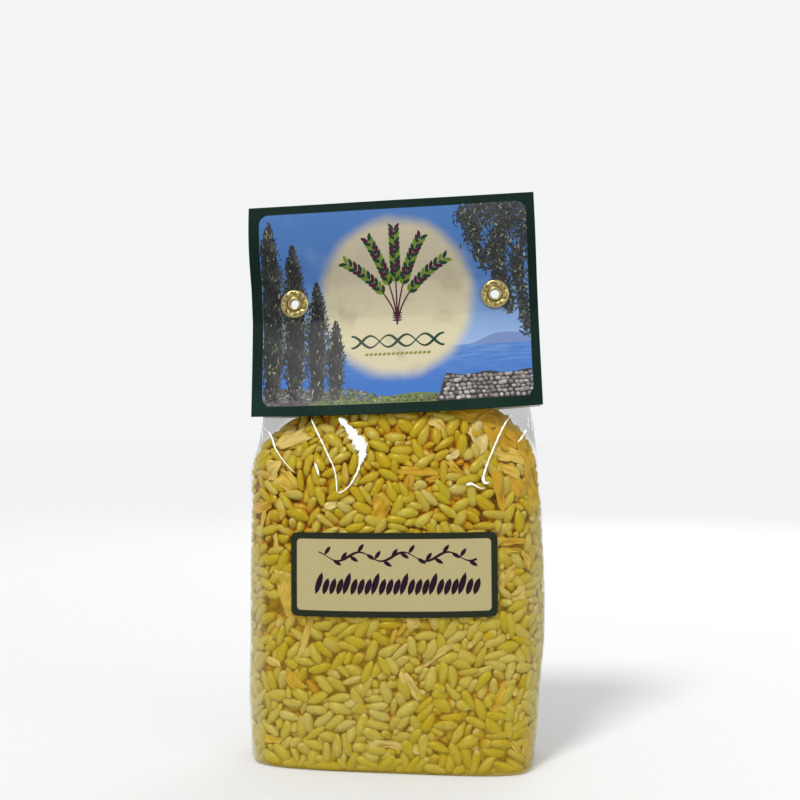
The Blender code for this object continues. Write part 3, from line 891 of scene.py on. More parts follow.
class SAFFRON_OT_contents(Operator):
    """Fill the bag: dried onion flakes, loose grains around them, and a core"""

    bl_idname = "saffron_bag.contents"
    bl_label = "Rice and onion"

    def execute(self, context):
        rng = np.random.default_rng(CONTENTS_SEED)
        onion = context.scene.saffron_onion
        flakes = flake_list(onion.scattered, rng)
        grids, depth, place = flake_grids(flakes, rng)
        blocks = at_depth(grids[:, :-2, ::2], depth[:, :-2, ::2] + 0.3 * MM)
        self.add_onion(onion, flakes, grids, depth, place)
        self.add_rice(context.scene.saffron_rice, blocks.reshape(-1, 3), rng)
        self.add_core(context.scene.saffron_rice)
        return {"FINISHED"}

    def add_onion(self, onion, flakes, grids, depth, place):
        """Both faces of every flake, joined by a wall round the outline."""
        outer = kept_inside(at_depth(grids, depth), UNDER_FILM)
        inner = kept_inside(at_depth(grids, depth + onion.thickness), 0.4 * MM)
        outer, inner = settle(outer, HEAP_STATIONS), settle(inner, HEAP_STATIONS)
        count, size = len(flakes), FLAKE_RINGS * FLAKE_SPOKES
        faces = repeated(grid_quads(FLAKE_RINGS, FLAKE_SPOKES, closed=True), count, size)
        rim = np.arange(FLAKE_SPOKES) + size - FLAKE_SPOKES
        after = np.roll(rim, -1)
        whole = count * size
        walls = repeated(np.stack((rim, after, after + whole, rim + whole), -1), count, size)
        points = np.concatenate((outer.reshape(-1, 3), inner.reshape(-1, 3)))
        quads = np.concatenate((faces, faces[:, ::-1] + whole, walls))
        tone = np.broadcast_to(flakes[:, 5, None, None], depth.shape).reshape(-1)
        ring = np.broadcast_to(np.linspace(0.0, 1.0, FLAKE_RINGS)[:, None], depth.shape)
        piece = make_piece(
            "onion_flakes", points, (quads,), (self.onion_material(onion),),
            values={
                "tone": np.tile(tone, 2),
                "place": np.tile(place.reshape(-1, 3), (2, 1)),
                "rim": np.tile(ring.reshape(-1), 2),
            },
        )
        merge_doubles(piece)

    def onion_material(self, onion):
        """Parched, half clear onion: amber to pale by flake, veined along its length."""
        f = Finish("dried_onion")
        vein = f.noise(1.0, 3.0, f.attribute("place", "Vector"))
        tone = f.attribute("tone")
        base = f.mix(f.ramp(tone, 0.0, 0.5, soft=False), onion.amber, onion.peach)
        base = f.mix(f.ramp(tone, 0.5, 1.0, soft=False), base, onion.pale)
        light = f.ramp(vein, 0.48, 0.72, 0.65)
        vein_tint = f.mix(tone, AMBER_VEIN, PALE_VEIN)
        base = f.mix(light, base, vein_tint)
        dark = f.ramp(vein, 0.47, 0.27, 0.7)
        base = f.mix(dark, base, DARK_VEIN)
        rim = f.ramp(f.attribute("rim"), 0.80, 1.0, 0.35)
        base = f.mix(rim, base, vein_tint)
        f.principled(
            Base_Color=base,
            Roughness=0.36,
            Specular_IOR_Level=0.35,
            Specular_Tint=(1.0, 0.85, 0.5),
            Subsurface_Weight=0.25,
            Subsurface_Scale=1.2 * MM,
            Subsurface_Radius=(1.0, 0.75, 0.15),
            Normal=f.bump(vein, 0.4 * MM, 0.9),
        )
        return f.material

    def add_rice(self, rice, blocks, rng):
        """The poured grains, sorted into four pieces by how deep their colour is."""
        centre, axis, flat, size = self.poured(rice, blocks, rng)
        points, local = grain_points(centre, axis, flat, size, rng)
        depth, outward = wall(points)
        points = kept_inside(points, UNDER_FILM)
        off = points - centre[:, None]
        off = off - (off * axis[:, None]).sum(-1, keepdims=True) * axis[:, None]
        facing = (off * outward).sum(-1) / (np.linalg.norm(off, axis=-1) + 0.1 * MM)
        # Painted shade: how deep each point lies and how far its side turns from the film, a little
        # less low down and at the foot; the material darkens the grain there.
        under = np.minimum(depth, points[..., 2]) / MM + 0.9 * (1.0 - facing)
        low = smoothstep(92.0 * MM, 55.0 * MM, points[..., 2])
        foot = smoothstep(24.0 * MM, 6.0 * MM, points[..., 2])
        under *= 1.0 - 0.2 * low - 0.2 * foot
        points[..., 2] = np.maximum(points[..., 2], 2.0 * UNDER_FILM)
        points = settle(points, HEAP_STATIONS)
        deep, dull, chalk = self.tones(centre, rng)
        tip = np.concatenate((np.repeat(np.abs(GRAIN_RINGS), GRAIN_SPOKES), (1.0, 1.0)))
        spoke = np.linspace(0.0, 2.0 * np.pi, GRAIN_SPOKES, endpoint=False)
        belly = (1.0 - GRAIN_RINGS[:, None] ** 2) * np.abs(np.sin(spoke))[None, :]
        belly = np.append(belly.ravel(), (0.0, 0.0))
        kinds = (
            ("rice_pale", deep < 0.10, rice.cream, rice.yellow, -0.3, 0.26),
            ("rice_cream", (deep >= 0.10) & (deep < 0.26), rice.cream, rice.yellow, -0.3, 0.26),
            ("rice_yellow", (deep >= 0.26) & (deep < 0.60), rice.yellow, rice.saffron, 0.26, 0.75),
            ("rice_saffron", deep >= 0.60, rice.saffron, rice.saffron, 0.60, 1.2),
        )
        for name, chosen, tint, deeper, low, high in kinds:
            number = int(chosen.sum())
            tone = np.clip((deep[chosen] - low) / (high - low), 0.0, 1.0)
            each = len(tip)
            make_piece(
                name, points[chosen], grain_faces(number),
                (rice_material(name, tint, deeper),),
                values={
                    "tone": np.repeat(tone, each),
                    "dull": np.repeat(dull[chosen], each),
                    "chalk": np.repeat(chalk[chosen], each),
                    "tip": np.tile(tip, number),
                    "belly": np.tile(belly, number),
                    "under": under[chosen].ravel(),
                    "local": local[chosen].reshape(-1, 3),
                },
            )

    def poured(self, rice, blocks, rng):
        """Each grain's middle, long axis, flat side's normal and size once all are poured.

        The flat side faces the film, more or less, and a few grains are broken short.
        """
        count = rice.count
        thick = rng.normal(1.0, 0.06, count).clip(0.86, 1.12)
        stretch = rng.normal(1.0, 0.06, count).clip(0.84, 1.14)
        stretch = np.where(rng.random(count) < BROKEN_SHARE, BROKEN_LENGTH, stretch)
        half = (0.5 * rice.grain_length * stretch - PAST_BALLS).clip(0.5 * MM)
        steps = POUR_STEPS
        centre, axis = pour_rice(count, half, thick, rice.layer, blocks, steps, rng)
        _, normal = wall(centre)
        normal = normal + rng.normal(0.0, 0.42, (count, 3))
        flat = normal - (normal * axis).sum(1)[:, None] * axis
        flat /= np.linalg.norm(flat, axis=1)[:, None]
        size = (
            rice.grain_length * stretch,
            rice.grain_width * thick * rng.normal(1.0, 0.09, count),
            rice.grain_depth * thick,
        )
        return centre, axis, flat, np.stack(size, -1)

    def tones(self, centre, rng):
        """How deep in colour, how dull and how chalky each grain is.

        All are deeper high up in the bag, and those in a saturated place most of all.
        """
        count = len(centre)
        up = smoothstep(20.0 * MM, 100.0 * MM, centre[:, 2])
        deep = 0.12 + 0.31 * up + 0.14 * slow_noise(centre, 9.0 * MM, rng)
        deep = deep + rng.normal(0.0, 1.0, count) * (0.15 + 0.20 * up)
        for x, z, reach in SATURATED * MM:
            off = np.hypot(centre[:, 0] - x, centre[:, 2] - z) / reach
            deep = deep + 0.8 * np.exp(-(off**2)) * (centre[:, 1] < 0.0)
        dull = 0.35 * rng.random(count) ** 2 + 0.16 * up
        chalk = 0.8 * rng.random(count) ** (1.3 + 1.9 * up)
        return deep, dull, chalk

    def add_core(self, rice):
        """What lies under the loose grains: the heap's shape, drawn in, with low bumps, coloured
        with a dark painted shade.
        """
        inset = rice.layer - 1.3 * MM
        columns, rows = 150, 120
        angle = even_angles(columns)[None, :]
        low, high = inset, HEAP_STATIONS[-1][0] * MM - 1.6 * inset
        lift = np.linspace(0.0, 1.0, rows)[:, None]
        height = low + (high - low) * lift
        shape = section(angle, height, HEAP_STATIONS)
        ends = np.clip(((lift - 0.94) / 0.06, (0.03 - lift) / 0.03), 0.0, 1.0)
        cap, foot = np.sqrt(1.0 - ends**2)
        half = np.concatenate([along(HEAP_STATIONS, k, height) * MM for k in (1, 2)], -1)
        shrink = (half - inset) / half
        shape[..., :2] *= (np.clip(shrink, 0.05, 1.0) * cap * foot)[:, None, :]
        bumps = np.sin(shape @ np.array((900.0, 1500.0, 1700.0)))
        bumps = bumps * np.sin(shape @ np.array((-1300.0, 700.0, 1100.0)))
        shape += grid_normals(shape, closed=True) * (0.5 * MM * bumps * cap * foot)[..., None]
        # Painted shade: the core is dark amber, mottled towards a lighter amber.
        f = Finish("deep_rice_shade")
        base = f.mix(f.noise(260.0, 3.0), rice.shadow, CORE_LIGHT)
        f.principled(
            Base_Color=base, Roughness=0.8, Normal=f.bump(f.noise(300.0, 3.0), 1.0 * MM)
        )
        core = make_piece(
            "rice_core", settle(shape, HEAP_STATIONS),
            (grid_quads(rows, columns, closed=True),), (f.material,),
        )
        merge_doubles(core)
        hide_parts("bag")


def merge_doubles(piece, distance=0.002 * MM):
    """Closes poles and seams: points that lie together become one."""
    shape = bmesh.new()
    shape.from_mesh(piece.data)
    bmesh.ops.remove_doubles(shape, verts=shape.verts, dist=distance)
    bmesh.ops.recalc_face_normals(shape, faces=shape.faces)
    shape.to_mesh(piece.data)
    shape.free()


# ------------------------------------------------------------------ the film

# Folds that run down from the header: (x, height, half width) along each, in mm. Their bright lines
# are painted highlights.
FOLDS = (
    ((-29.1, 121.0, 0.5), (-26.7, 116.3, 0.42), (-23.7, 111.0, 0.36), (-21.6, 106.9, 0.36),
     (-19.8, 103.5, 0.38), (-19.0, 99.4, 0.36), (-18.8, 95.2, 0.32)),
    ((-18.8, 95.2, 0.25), (-16.7, 95.7, 0.3), (-13.9, 98.4, 0.35), (-11.9, 102.2, 0.4),
     (-10.8, 105.9, 0.9), (-10.0, 109.6, 2.5), (-11.4, 112.6, 3.3), (-13.6, 115.2, 2.5),
     (-15.4, 117.5, 1.6), (-17.2, 119.6, 1.4), (-19.3, 121.5, 1.3)),
    ((41.2, 122.9, 0.2), (38.3, 118.7, 0.5), (35.9, 113.5, 0.45), (33.5, 107.7, 0.4),
     (31.8, 103.2, 0.5), (31.0, 99.5, 0.75), (32.2, 98.5, 0.7), (33.7, 99.3, 0.25)),
    ((46.6, 117.6, 0.75), (44.6, 114.5, 0.5), (42.8, 112.3, 0.2)),
    ((25.2, 98.0, 0.5), (26.9, 98.8, 1.0), (28.4, 98.0, 0.3), (30.5, 96.8, 0.2), (32.5, 97.4, 0.2)),
    ((-48.2, 118.7, 0.3), (-46.4, 117.4, 0.4), (-44.6, 116.0, 0.5), (-43.2, 113.5, 0.55),
     (-42.4, 111.0, 0.45), (-40.0, 107.9, 0.22), (-37.5, 105.1, 0.16), (-33.7, 101.7, 0.10)),
    ((-45.9, 121.4, 0.3), (-44.2, 119.9, 0.35), (-43.3, 121.6, 0.3)),
    ((-48.6, 118.0, 0.3), (-47.4, 114.9, 0.4), (-47.8, 112.8, 0.2)),
    ((-27.2, 106.0, 0.3), (-26.4, 104.6, 0.75), (-25.6, 102.2, 0.55), (-25.2, 101.0, 0.2)),
    ((46.4, 122.5, 0.15), (47.0, 120.5, 0.3), (46.6, 118.9, 0.25), (47.6, 117.4, 0.2)),
    ((47.8, 122.6, 0.2), (48.1, 119.4, 0.3), (48.4, 115.5, 0.15)),
)
GUSSET_AT = (-45.6 * MM, 46.9 * MM)
FILM_COLUMNS = 360
FOLD_STEP = 0.3 * MM
# The film's grey where nothing lies behind it.
EMPTY_CORNER = np.array((0.27, 0.26, 0.26))


def front_of_bag(x, z):
    """The straight bag's front, found for places in the real one, as their y.

    The tilt, the lean and the twist are taken off again. Each depends on the height or
    the depth that is looked for, so a few rounds close in on it.
    """
    flat_x, flat_z, y = np.array(x), np.array(z), np.full(np.shape(x), -15.0 * MM)
    for _ in range(5):
        share = HEADER_TILT * smoothstep(TILT_FROM, TILT_FULL, flat_z)
        c, s = np.cos(share), np.sin(share)
        dx, dz = x - HEADER_FOOT[0], z - HEADER_FOOT[2]
        flat_x, flat_z = HEADER_FOOT[0] + c * dx + s * dz, HEADER_FOOT[2] + c * dz - s * dx
        twist = BASE_TWIST * (1.0 - smoothstep(0.0, TWIST_ENDS_AT, flat_z))
        c, s = np.cos(twist), np.sin(twist)
        aside = flat_x - along(BAG_STATIONS, 3, flat_z) * MM
        across = c * aside - s * y
        square = np.where(
            across > 0, along(BAG_STATIONS, 5, flat_z), along(BAG_STATIONS, 4, flat_z)
        )
        wide = along(BAG_STATIONS, 1, flat_z) * MM
        deep = along(BAG_STATIONS, 2, flat_z) * MM
        rest = np.clip(1.0 - np.abs(across / wide) ** square, 0.0, 1.0)
        y = c * -deep * rest ** (1.0 / square) - s * across
    return y


def film_heights():
    """Heights of the film's rows: close together at the base and by the header."""
    heights = (
        (0.0, 0.3, 0.7, 1.2, 1.8, 2.6, 3.4, 4.4),
        np.linspace(5.5, 92.0, 96),
        np.linspace(92.6, 124.0, 62),
        np.linspace(125.0, 157.0, 28),
        np.linspace(158.5, 186.0, 18),
    )
    return MM * np.concatenate(heights)


def film_relief(film, points, angle):
    """How far the film stands out from the smooth bag: pleats, side folds, crinkles."""
    rng = np.random.default_rng(FILM_SEED)
    x, z = points[..., 0], points[..., 2]
    reach = smoothstep(3.0 * MM, 12.0 * MM, z) * smoothstep(112.0 * MM, 100.0 * MM, z)
    rise = np.zeros_like(z)
    for edge in GUSSET_AT:
        wander = 0.5 * MM * np.sin(z / (13.0 * MM) + edge / MM)
        rise += film.gusset * reach * np.exp(-(((x - edge - wander) / (0.7 * MM)) ** 2))
    crinkle = slow_noise(points, 5.0 * MM, rng) + 0.6 * slow_noise(points, 2.4 * MM, rng)
    rise += film.crinkle * crinkle * smoothstep(0.0, 6.0 * MM, z)
    pleats = np.zeros_like(z)
    for waves, share in ((11, 0.5), (17, 0.4), (29, 0.3)):
        pleats += share * np.cos(waves * angle + waves)
    neck = smoothstep(98.0 * MM, 116.0 * MM, z) * smoothstep(140.0 * MM, 124.0 * MM, z)
    rise += film.pleat * pleats * neck
    return rise * smoothstep(158.0 * MM, 146.0 * MM, z)


class SAFFRON_OT_film(Operator):
    """Wrap the contents in clear film with side folds, pleats and slow crinkles"""

    bl_idname = "saffron_bag.film"
    bl_label = "Film"

    def execute(self, context):
        film = context.scene.saffron_film
        angle, height = even_angles(FILM_COLUMNS)[None, :], film_heights()[:, None]
        grid = settle(section(angle, height))
        grid += grid_normals(grid, closed=True) * film_relief(film, grid, angle)[..., None]
        grid[0, :, 2] = 0.02 * MM
        grid[..., 2] = np.maximum(grid[..., 2], 0.02 * MM)
        points, quads = self.close_ends(grid)
        quads = quads[clear_of_eyelets(points[quads].mean(1), FILM_HOLE)]
        haze, cloud = self.veil(film, points)
        piece = make_piece(
            "film", points, (quads,), (self.material(),),
            values={"haze": haze, "cloud": cloud},
        )
        merge_doubles(piece)
        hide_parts("bag")
        return {"FINISHED"}

    def close_ends(self, grid):
        """Adds the flat base, as rings drawn in to a point, and a seam at the top."""
        ring = np.linspace(0.0, 1.0, 14)[1:-1, None, None]
        centre = grid[0].mean(0)
        base = centre + (grid[0][None] - centre) * ring
        rows = np.concatenate((np.broadcast_to(centre, base[:1].shape), base, grid))
        seam = rows[-1].copy()
        seam[:, 1] = 0.0
        rows = np.concatenate((rows, seam[None]))
        return rows.reshape(-1, 3), grid_quads(len(rows), FILM_COLUMNS, closed=True)

    def veil(self, film, points):
        """How cloudy the film is, from 0 to 1, and the colour of that veil.

        Over the rice it is golden, more so low down: partly saffron dust, partly painted light, the
        glow of light that comes through the grains. It is paler at the bag's sides, partly a
        painted reflection of the bright surroundings, thicker at the foot as painted light over the
        shade under the base, and grey in the empty corners by the header.
        """
        rng = np.random.default_rng(HAZE_SEED)
        x, _, z = points.T
        patches = 0.5 + 0.5 * slow_noise(points, 9.0 * MM, rng)
        # Paler at the bag's sides: partly milky film in the side folds, partly a painted reflection
        # of the bright surroundings.
        sides = smoothstep(43.0 * MM, 51.0 * MM, np.abs(x - 0.5 * MM))
        low = smoothstep(92.0 * MM, 55.0 * MM, z)
        reach = np.abs(x) + 1.05 * (z - 104.0 * MM) - np.where(x > 0.0, 54.5, 52.5) * MM
        empty = smoothstep(0.0, 5.0 * MM, reach)
        # Painted light: the film is clouded more at the foot, which lightens the shade under the
        # base.
        foot = smoothstep(6.0 * MM, 0.5 * MM, z)
        ends_at = np.where(x > 0.0, 98.0, 116.0) * MM
        sides = sides * smoothstep(0.0, 14.0 * MM, ends_at - z)
        haze = 0.012 + 0.02 * patches + 0.145 * low + 0.18 * sides * (0.6 + 0.4 * patches)
        haze = haze + 0.30 * foot
        haze = haze + (0.22 + 0.16 * patches - haze) * empty
        dust_and_glow, cloud = np.array(film.dust_and_glow), np.array(film.cloud)
        tint = dust_and_glow + (cloud - dust_and_glow) * sides[:, None]
        tint = tint + (EMPTY_CORNER - tint) * empty[:, None]
        return haze, opaque(tint)

    def material(self):
        """Clear film that mirrors by its angle, with a veil of a given strength whose colour holds
        haze and painted light.
        """
        f = Finish("clear_film")
        f.tree.nodes.remove(f.shader)
        ripple = f.bump(f.noise(160.0, 3.0), 0.25 * MM, 0.35)
        graze = f.node("LayerWeight", Blend=0.5, Normal=ripple).outputs["Facing"]
        mirror = f.math("MULTIPLY_ADD", f.math("POWER", graze, 5.0), 0.45, 0.004)
        clear = f.node("BsdfTransparent", Color=(0.985, 0.985, 0.98)).outputs[0]
        gloss = f.node("BsdfGlossy", Color=(1.0, 1.0, 1.0), Roughness=0.09, Normal=ripple)
        veil = f.node("BsdfDiffuse", Color=f.attribute("cloud", "Color")).outputs[0]
        hazy = f.node("MixShader", _0=f.attribute("haze"), _1=clear, _2=veil)
        final = f.node("MixShader", _0=mirror, _1=hazy.outputs[0], _2=gloss.outputs[0])
        f.put(f.output.inputs["Surface"], final.outputs[0])
        return f.material


class SAFFRON_OT_folds(Operator):
    """Crease the film: sharp folds that run down from the header, with painted highlights along
    them
    """

    bl_idname = "saffron_bag.folds"
    bl_label = "Film folds"

    def execute(self, context):
        film = context.scene.saffron_film
        points, quads, white, count = [], [], [], 0
        for route in FOLDS:
            made, faces, tone = self.fold(film, np.array(route) * MM)
            points.append(made)
            quads.append(faces + count)
            white.append(tone)
            count += len(made)
        make_piece(
            "film_fold_highlights", np.concatenate(points), (np.concatenate(quads),),
            (self.material(film),), values={"white": np.concatenate(white)},
        )
        return {"FINISHED"}

    def fold(self, film, route):
        """A closed ridge along a route: its height is its width times 1 - |s|^1.5."""
        route = cut_corners(route, 3)
        run = np.concatenate(((0.0,), np.cumsum(np.hypot(*np.diff(route[:, :2], axis=0).T))))
        at = np.linspace(0.0, run[-1], int(run[-1] / FOLD_STEP) + 2)
        x, z, wide = (np.interp(at, run, column) for column in route.T)
        ends = np.minimum(at, run[-1] - at)
        wide = wide * (0.15 + 0.85 * np.sqrt(np.clip(ends / (1.6 * MM), 0.0, 1.0)))
        wide = wide * (0.9 + 0.26 * np.sin(at / (0.55 * MM)) * np.sin(at / (1.7 * MM)))
        dx, dz = np.gradient(x), np.gradient(z)
        step = np.hypot(dx, dz) + 1e-12
        s = np.linspace(-1.0, 1.0, 9)[None, :]
        px = x[:, None] - (dz / step * wide)[:, None] * s
        pz = z[:, None] + (dx / step * wide)[:, None] * s
        y = front_of_bag(px, pz)
        height = film.crease * np.minimum(wide, 0.8 * MM)[:, None] * (1.0 - np.abs(s) ** 1.5)
        outer = np.stack((px, y - 0.25 * MM - height, pz), -1)
        inner = np.stack((px, y + 0.15 * MM, pz), -1)
        points, quads, _ = thick_sheet(outer, inner)
        # The painted highlight: brightest along the ridge, fainter towards the fold's ends.
        tone = np.clip(1.35 * (1.0 - np.abs(s)), 0.0, 1.0)
        tone = tone * np.clip(ends / (1.2 * MM), 0.25, 1.0)[:, None]
        return points, quads, np.tile(tone.ravel(), 2)

    def material(self, film):
        """A painted highlight along a sharp fold, and clear film again beside the fold."""
        f = Finish("fold_highlight")
        speck = f.ramp(f.noise(900.0, 4.0), 0.66, 0.28, 1.3)
        share = f.math("SUBTRACT", f.math("MULTIPLY", f.attribute("white"), 1.9), speck, clamp=True)
        f.principled(
            Base_Color=film.fold, Roughness=0.25, Alpha=share, Specular_IOR_Level=0.6,
        )
        return f.material


# ----------------------------------------------------------- the header card


def in_header(points):
    """From the header's own frame (across, depth, up from its lower edge) to the pack."""
    c, s = np.cos(HEADER_TILT), np.sin(HEADER_TILT)
    u, y, v = np.moveaxis(points, -1, 0)
    return HEADER_FOOT + np.stack((c * u - s * v, y, s * u + c * v), -1)


def eyelet_places():
    """Where the eyelets are across the header, with their frame nodes' names."""
    return [
        (EYELET_OFFSET + sign * 0.5 * EYELET_SPACING, f"eyelet_{side}")
        for side, sign in (("left", -1.0), ("right", 1.0))
    ]


def clear_of_eyelets(points, radius):
    """Tells which points lie outside the round holes, seen from the front, for the eyelets."""
    clear = np.ones(points.shape[:-1], bool)
    for place, _ in eyelet_places():
        centre = in_header(np.array((place, 0.0, EYELET_HEIGHT)))
        clear &= np.linalg.norm((points - centre)[..., (0, 2)], axis=-1) > radius
    return clear


def card_gap(u, v):
    """From the header's middle plane to the card's inner face.

    The eyelets pinch it. Below them it flares, more in the middle than at the ends;
    above them it bulges and closes at the fold; between them it stands off a little.
    """
    low, high = EYELET_HEIGHT - PINCHED_REACH, EYELET_HEIGHT + PINCHED_REACH
    spread = 1.0 - (2.0 * u / CARD_WIDTH) ** 2
    flare = FLARE_EDGE + (FLARE_MIDDLE - FLARE_EDGE) * spread
    below = np.clip((low - v) / low, 0.0, None)
    above = np.clip((v - high) / (CARD_HEIGHT - high), 0.0, None)
    between = 1.0 - smoothstep(0.0, 0.5 * EYELET_SPACING - PINCHED_REACH, np.abs(u))
    crown = CROWN * between * smoothstep(0.0, low, v) * (1.0 - above)
    bulge = TOP_BULGE * np.sin(np.pi * above)
    return CARD_PINCH * (1.0 - above**4) + flare * below**FLARE_POWER + crown + bulge


def card_path(u, v, lift):
    """A place on the front's card at (u, v), lifted off its inner face, as (y, v)."""
    sag = LOWER_EDGE_SAG * (1.0 - (2.0 * u / CARD_WIDTH) ** 2)
    drop = sag * (1.0 - v / CARD_HEIGHT) ** 2
    step = 0.2 * MM
    slope = (card_gap(u, v + step) - card_gap(u, v - step)) / (2.0 * step)
    out = 1.0 / np.sqrt(1.0 + slope**2)
    return card_gap(u, v) + lift * out, v - drop - lift * slope * out


def on_card(u, v, lift, side=-1.0):
    """A place printed on the card, in the pack: side is -1 on the front, 1 behind."""
    y, up = card_path(u, v, lift)
    return in_header(np.stack((u, side * y, up), -1))


FOLD_LINE = CARD_HEIGHT - 2.0 * CARD_THICKNESS


def card_grid(columns, rows, fold_steps, lift):
    """The whole folded sheet: up the front, round the fold and down the back."""
    u = np.linspace(-0.5, 0.5, columns)[None, :] * CARD_WIDTH
    v = np.linspace(0.0, FOLD_LINE, rows)[:, None]
    y, up = card_path(u, v, lift)
    turn = np.pi * np.arange(1, fold_steps)[:, None] / fold_steps
    reach = y[-1:]
    round_y, round_up = -reach * np.cos(turn), up[-1:] + reach * np.sin(turn)
    depth = np.concatenate((-y, round_y, y[::-1]))
    height = np.concatenate((up, round_up, up[::-1]))
    across = np.broadcast_to(u, depth.shape)
    return in_header(np.stack((across, depth, height), -1))


def rounded(f, across, up, reach, corner, soft):
    """1 outside a rectangle with round corners, 0 inside, in the sheet's millimetres.

    What counts is how far a place lies beyond the corner's centre: the length of the
    positive part of its offset, less the corner's radius.
    """
    beyond = []
    for value, limit in ((across, reach[0]), (up, reach[1])):
        over = f.math("SUBTRACT", f.math("ABSOLUTE", value), limit - corner)
        beyond.append(f.math("POWER", f.math("MAXIMUM", over, 0.0), 2.0))
    away = f.math("SQRT", f.math("ADD", beyond[0], beyond[1]))
    return f.ramp(away, corner - soft, corner + soft, soft=False)


# The print's second colours: haze in the sky, the water's swell and what lies near,
# the disc's upper part and its blots, and the border where it catches the light.
SKY_HAZE, SWELL, NEAR_WATER = (0.30, 0.38, 0.52), (0.11, 0.20, 0.42), (0.045, 0.125, 0.36)
DISC_HIGH, DISC_BLOT = (0.345, 0.305, 0.205), (0.30, 0.265, 0.165)
BORDER_LIGHT = (0.006, 0.021, 0.014)
BOARD_DULL, BOARD_PALE = (0.62, 0.60, 0.55), (0.72, 0.70, 0.66)


def card_material(card):
    """The print's fields: a green border, sky over sea, and a soft cream disc.

    The attribute sheet holds millimetres across and up the card.
    """
    f = Finish("printed_card")
    sheet, u, v = f.sheet()
    aside, middle = f.math("SUBTRACT", u, 0.4), f.math("SUBTRACT", v, 0.5 * CARD_HEIGHT / MM)
    reach = [0.5 * side / MM - card.border_width / MM for side in (CARD_WIDTH, CARD_HEIGHT)]
    framed = rounded(f, aside, middle, reach, card.corner / MM, 0.12)
    level = f.math("ADD", v, f.math("MULTIPLY", f.noise(0.05, 3.0, sheet), 6.0))
    sky = f.mix(f.ramp(level, 18.0, 56.0), card.sky_low, card.sky_high)
    veil = f.ramp(f.noise(0.045, 4.0, sheet), 0.55, 0.8, 0.25)
    sky = f.mix(veil, sky, SKY_HAZE)
    stretched = f.node("Mapping", Vector=sheet, Scale=(0.25, 2.2, 1.0)).outputs[0]
    swell = f.ramp(f.noise(0.5, 4.0, stretched), 0.35, 0.7)
    water = f.mix(swell, card.sea, SWELL)
    water = f.mix(f.ramp(v, 23.0, 8.0), water, NEAR_WATER)
    scene = f.mix(f.ramp(v, 22.4, 22.9, soft=False), water, sky)
    disc = [
        f.math("DIVIDE", f.math("SUBTRACT", value, at), half)
        for value, at, half in zip((u, v), DISC_MIDDLE, DISC_HALF)
    ]
    disc = f.node("CombineXYZ", _0=disc[0], _1=disc[1]).outputs[0]
    away = f.node("VectorMath", {"operation": "LENGTH"}, _0=disc).outputs["Value"]
    ragged = f.math("ADD", away, f.math("MULTIPLY", f.noise(0.12, 3.0, sheet), 0.10))
    field = f.ramp(ragged, 1.16, 0.94, 0.95)
    paper = f.mix(f.ramp(v, 24.0, 52.0), card.cream, DISC_HIGH)
    paper = f.mix(f.ramp(f.noise(0.07, 3.0, sheet), 0.5, 0.75), paper, DISC_BLOT)
    scene = f.mix(field, scene, paper)
    scene = f.screened(scene, 0.12, f.noise(3.2, 2.0, sheet))
    sheen = f.math("MULTIPLY", f.ramp(v, 42.0, 0.0), f.ramp(f.noise(0.05, 2.0, sheet), 0.3, 0.7))
    border = f.mix(sheen, card.border, BORDER_LIGHT)
    f.principled(
        Base_Color=f.mix(framed, scene, border),
        Roughness=f.ramp(f.noise(0.6, 3.0, sheet), -1.2, 1.8, soft=False),
        Specular_IOR_Level=0.04,
        Normal=f.bump(f.noise(1.6, 3.0, sheet), 0.05 * MM, 0.25),
    )
    return f.material


def board_material():
    """The card's bare inner side and its cut edges."""
    f = Finish("bare_board")
    fibre = f.noise(900.0, 4.0)
    f.principled(
        Base_Color=f.mix(fibre, BOARD_DULL, BOARD_PALE),
        Roughness=0.8,
        Normal=f.bump(fibre, 0.06 * MM, 0.4),
    )
    return f.material


class SAFFRON_OT_card(Operator):
    """Fold the card header over the flattened top of the bag"""

    bl_idname = "saffron_bag.card"
    bl_label = "Header card"

    def execute(self, context):
        card = context.scene.saffron_card
        columns, rows, folds = 128, 96, 14
        inner = card_grid(columns, rows, folds, 0.0)
        outer = card_grid(columns, rows, folds, CARD_THICKNESS)
        total = inner.shape[0]
        middle = 0.25 * (inner[1:, 1:] + inner[:-1, 1:] + inner[1:, :-1] + inner[:-1, :-1])
        keep = clear_of_eyelets(middle, CARD_HOLE)
        points, quads, part = thick_sheet(outer, inner, keep)
        across = np.linspace(-0.5, 0.5, columns) * CARD_WIDTH / MM
        u = np.broadcast_to(across, (total, columns))
        up = np.linspace(0.0, FOLD_LINE, rows) / MM
        v = np.concatenate((up, np.full(folds - 1, CARD_HEIGHT / MM), up[::-1]))
        v = np.broadcast_to(v[:, None], u.shape)
        side = np.broadcast_to((np.arange(total) > total / 2)[:, None] * 200.0, u.shape)
        sheet = np.stack((u, v, side), -1).reshape(-1, 3)
        piece = make_piece(
            "header_sheet", points, (quads,), (card_material(card), board_material()),
            part=part % 2, sharp=True,
            values={"sheet": np.concatenate((sheet, sheet))},
        )
        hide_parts("header_card")
        return {"FINISHED"}


# ------------------------------------------------------------------ the print


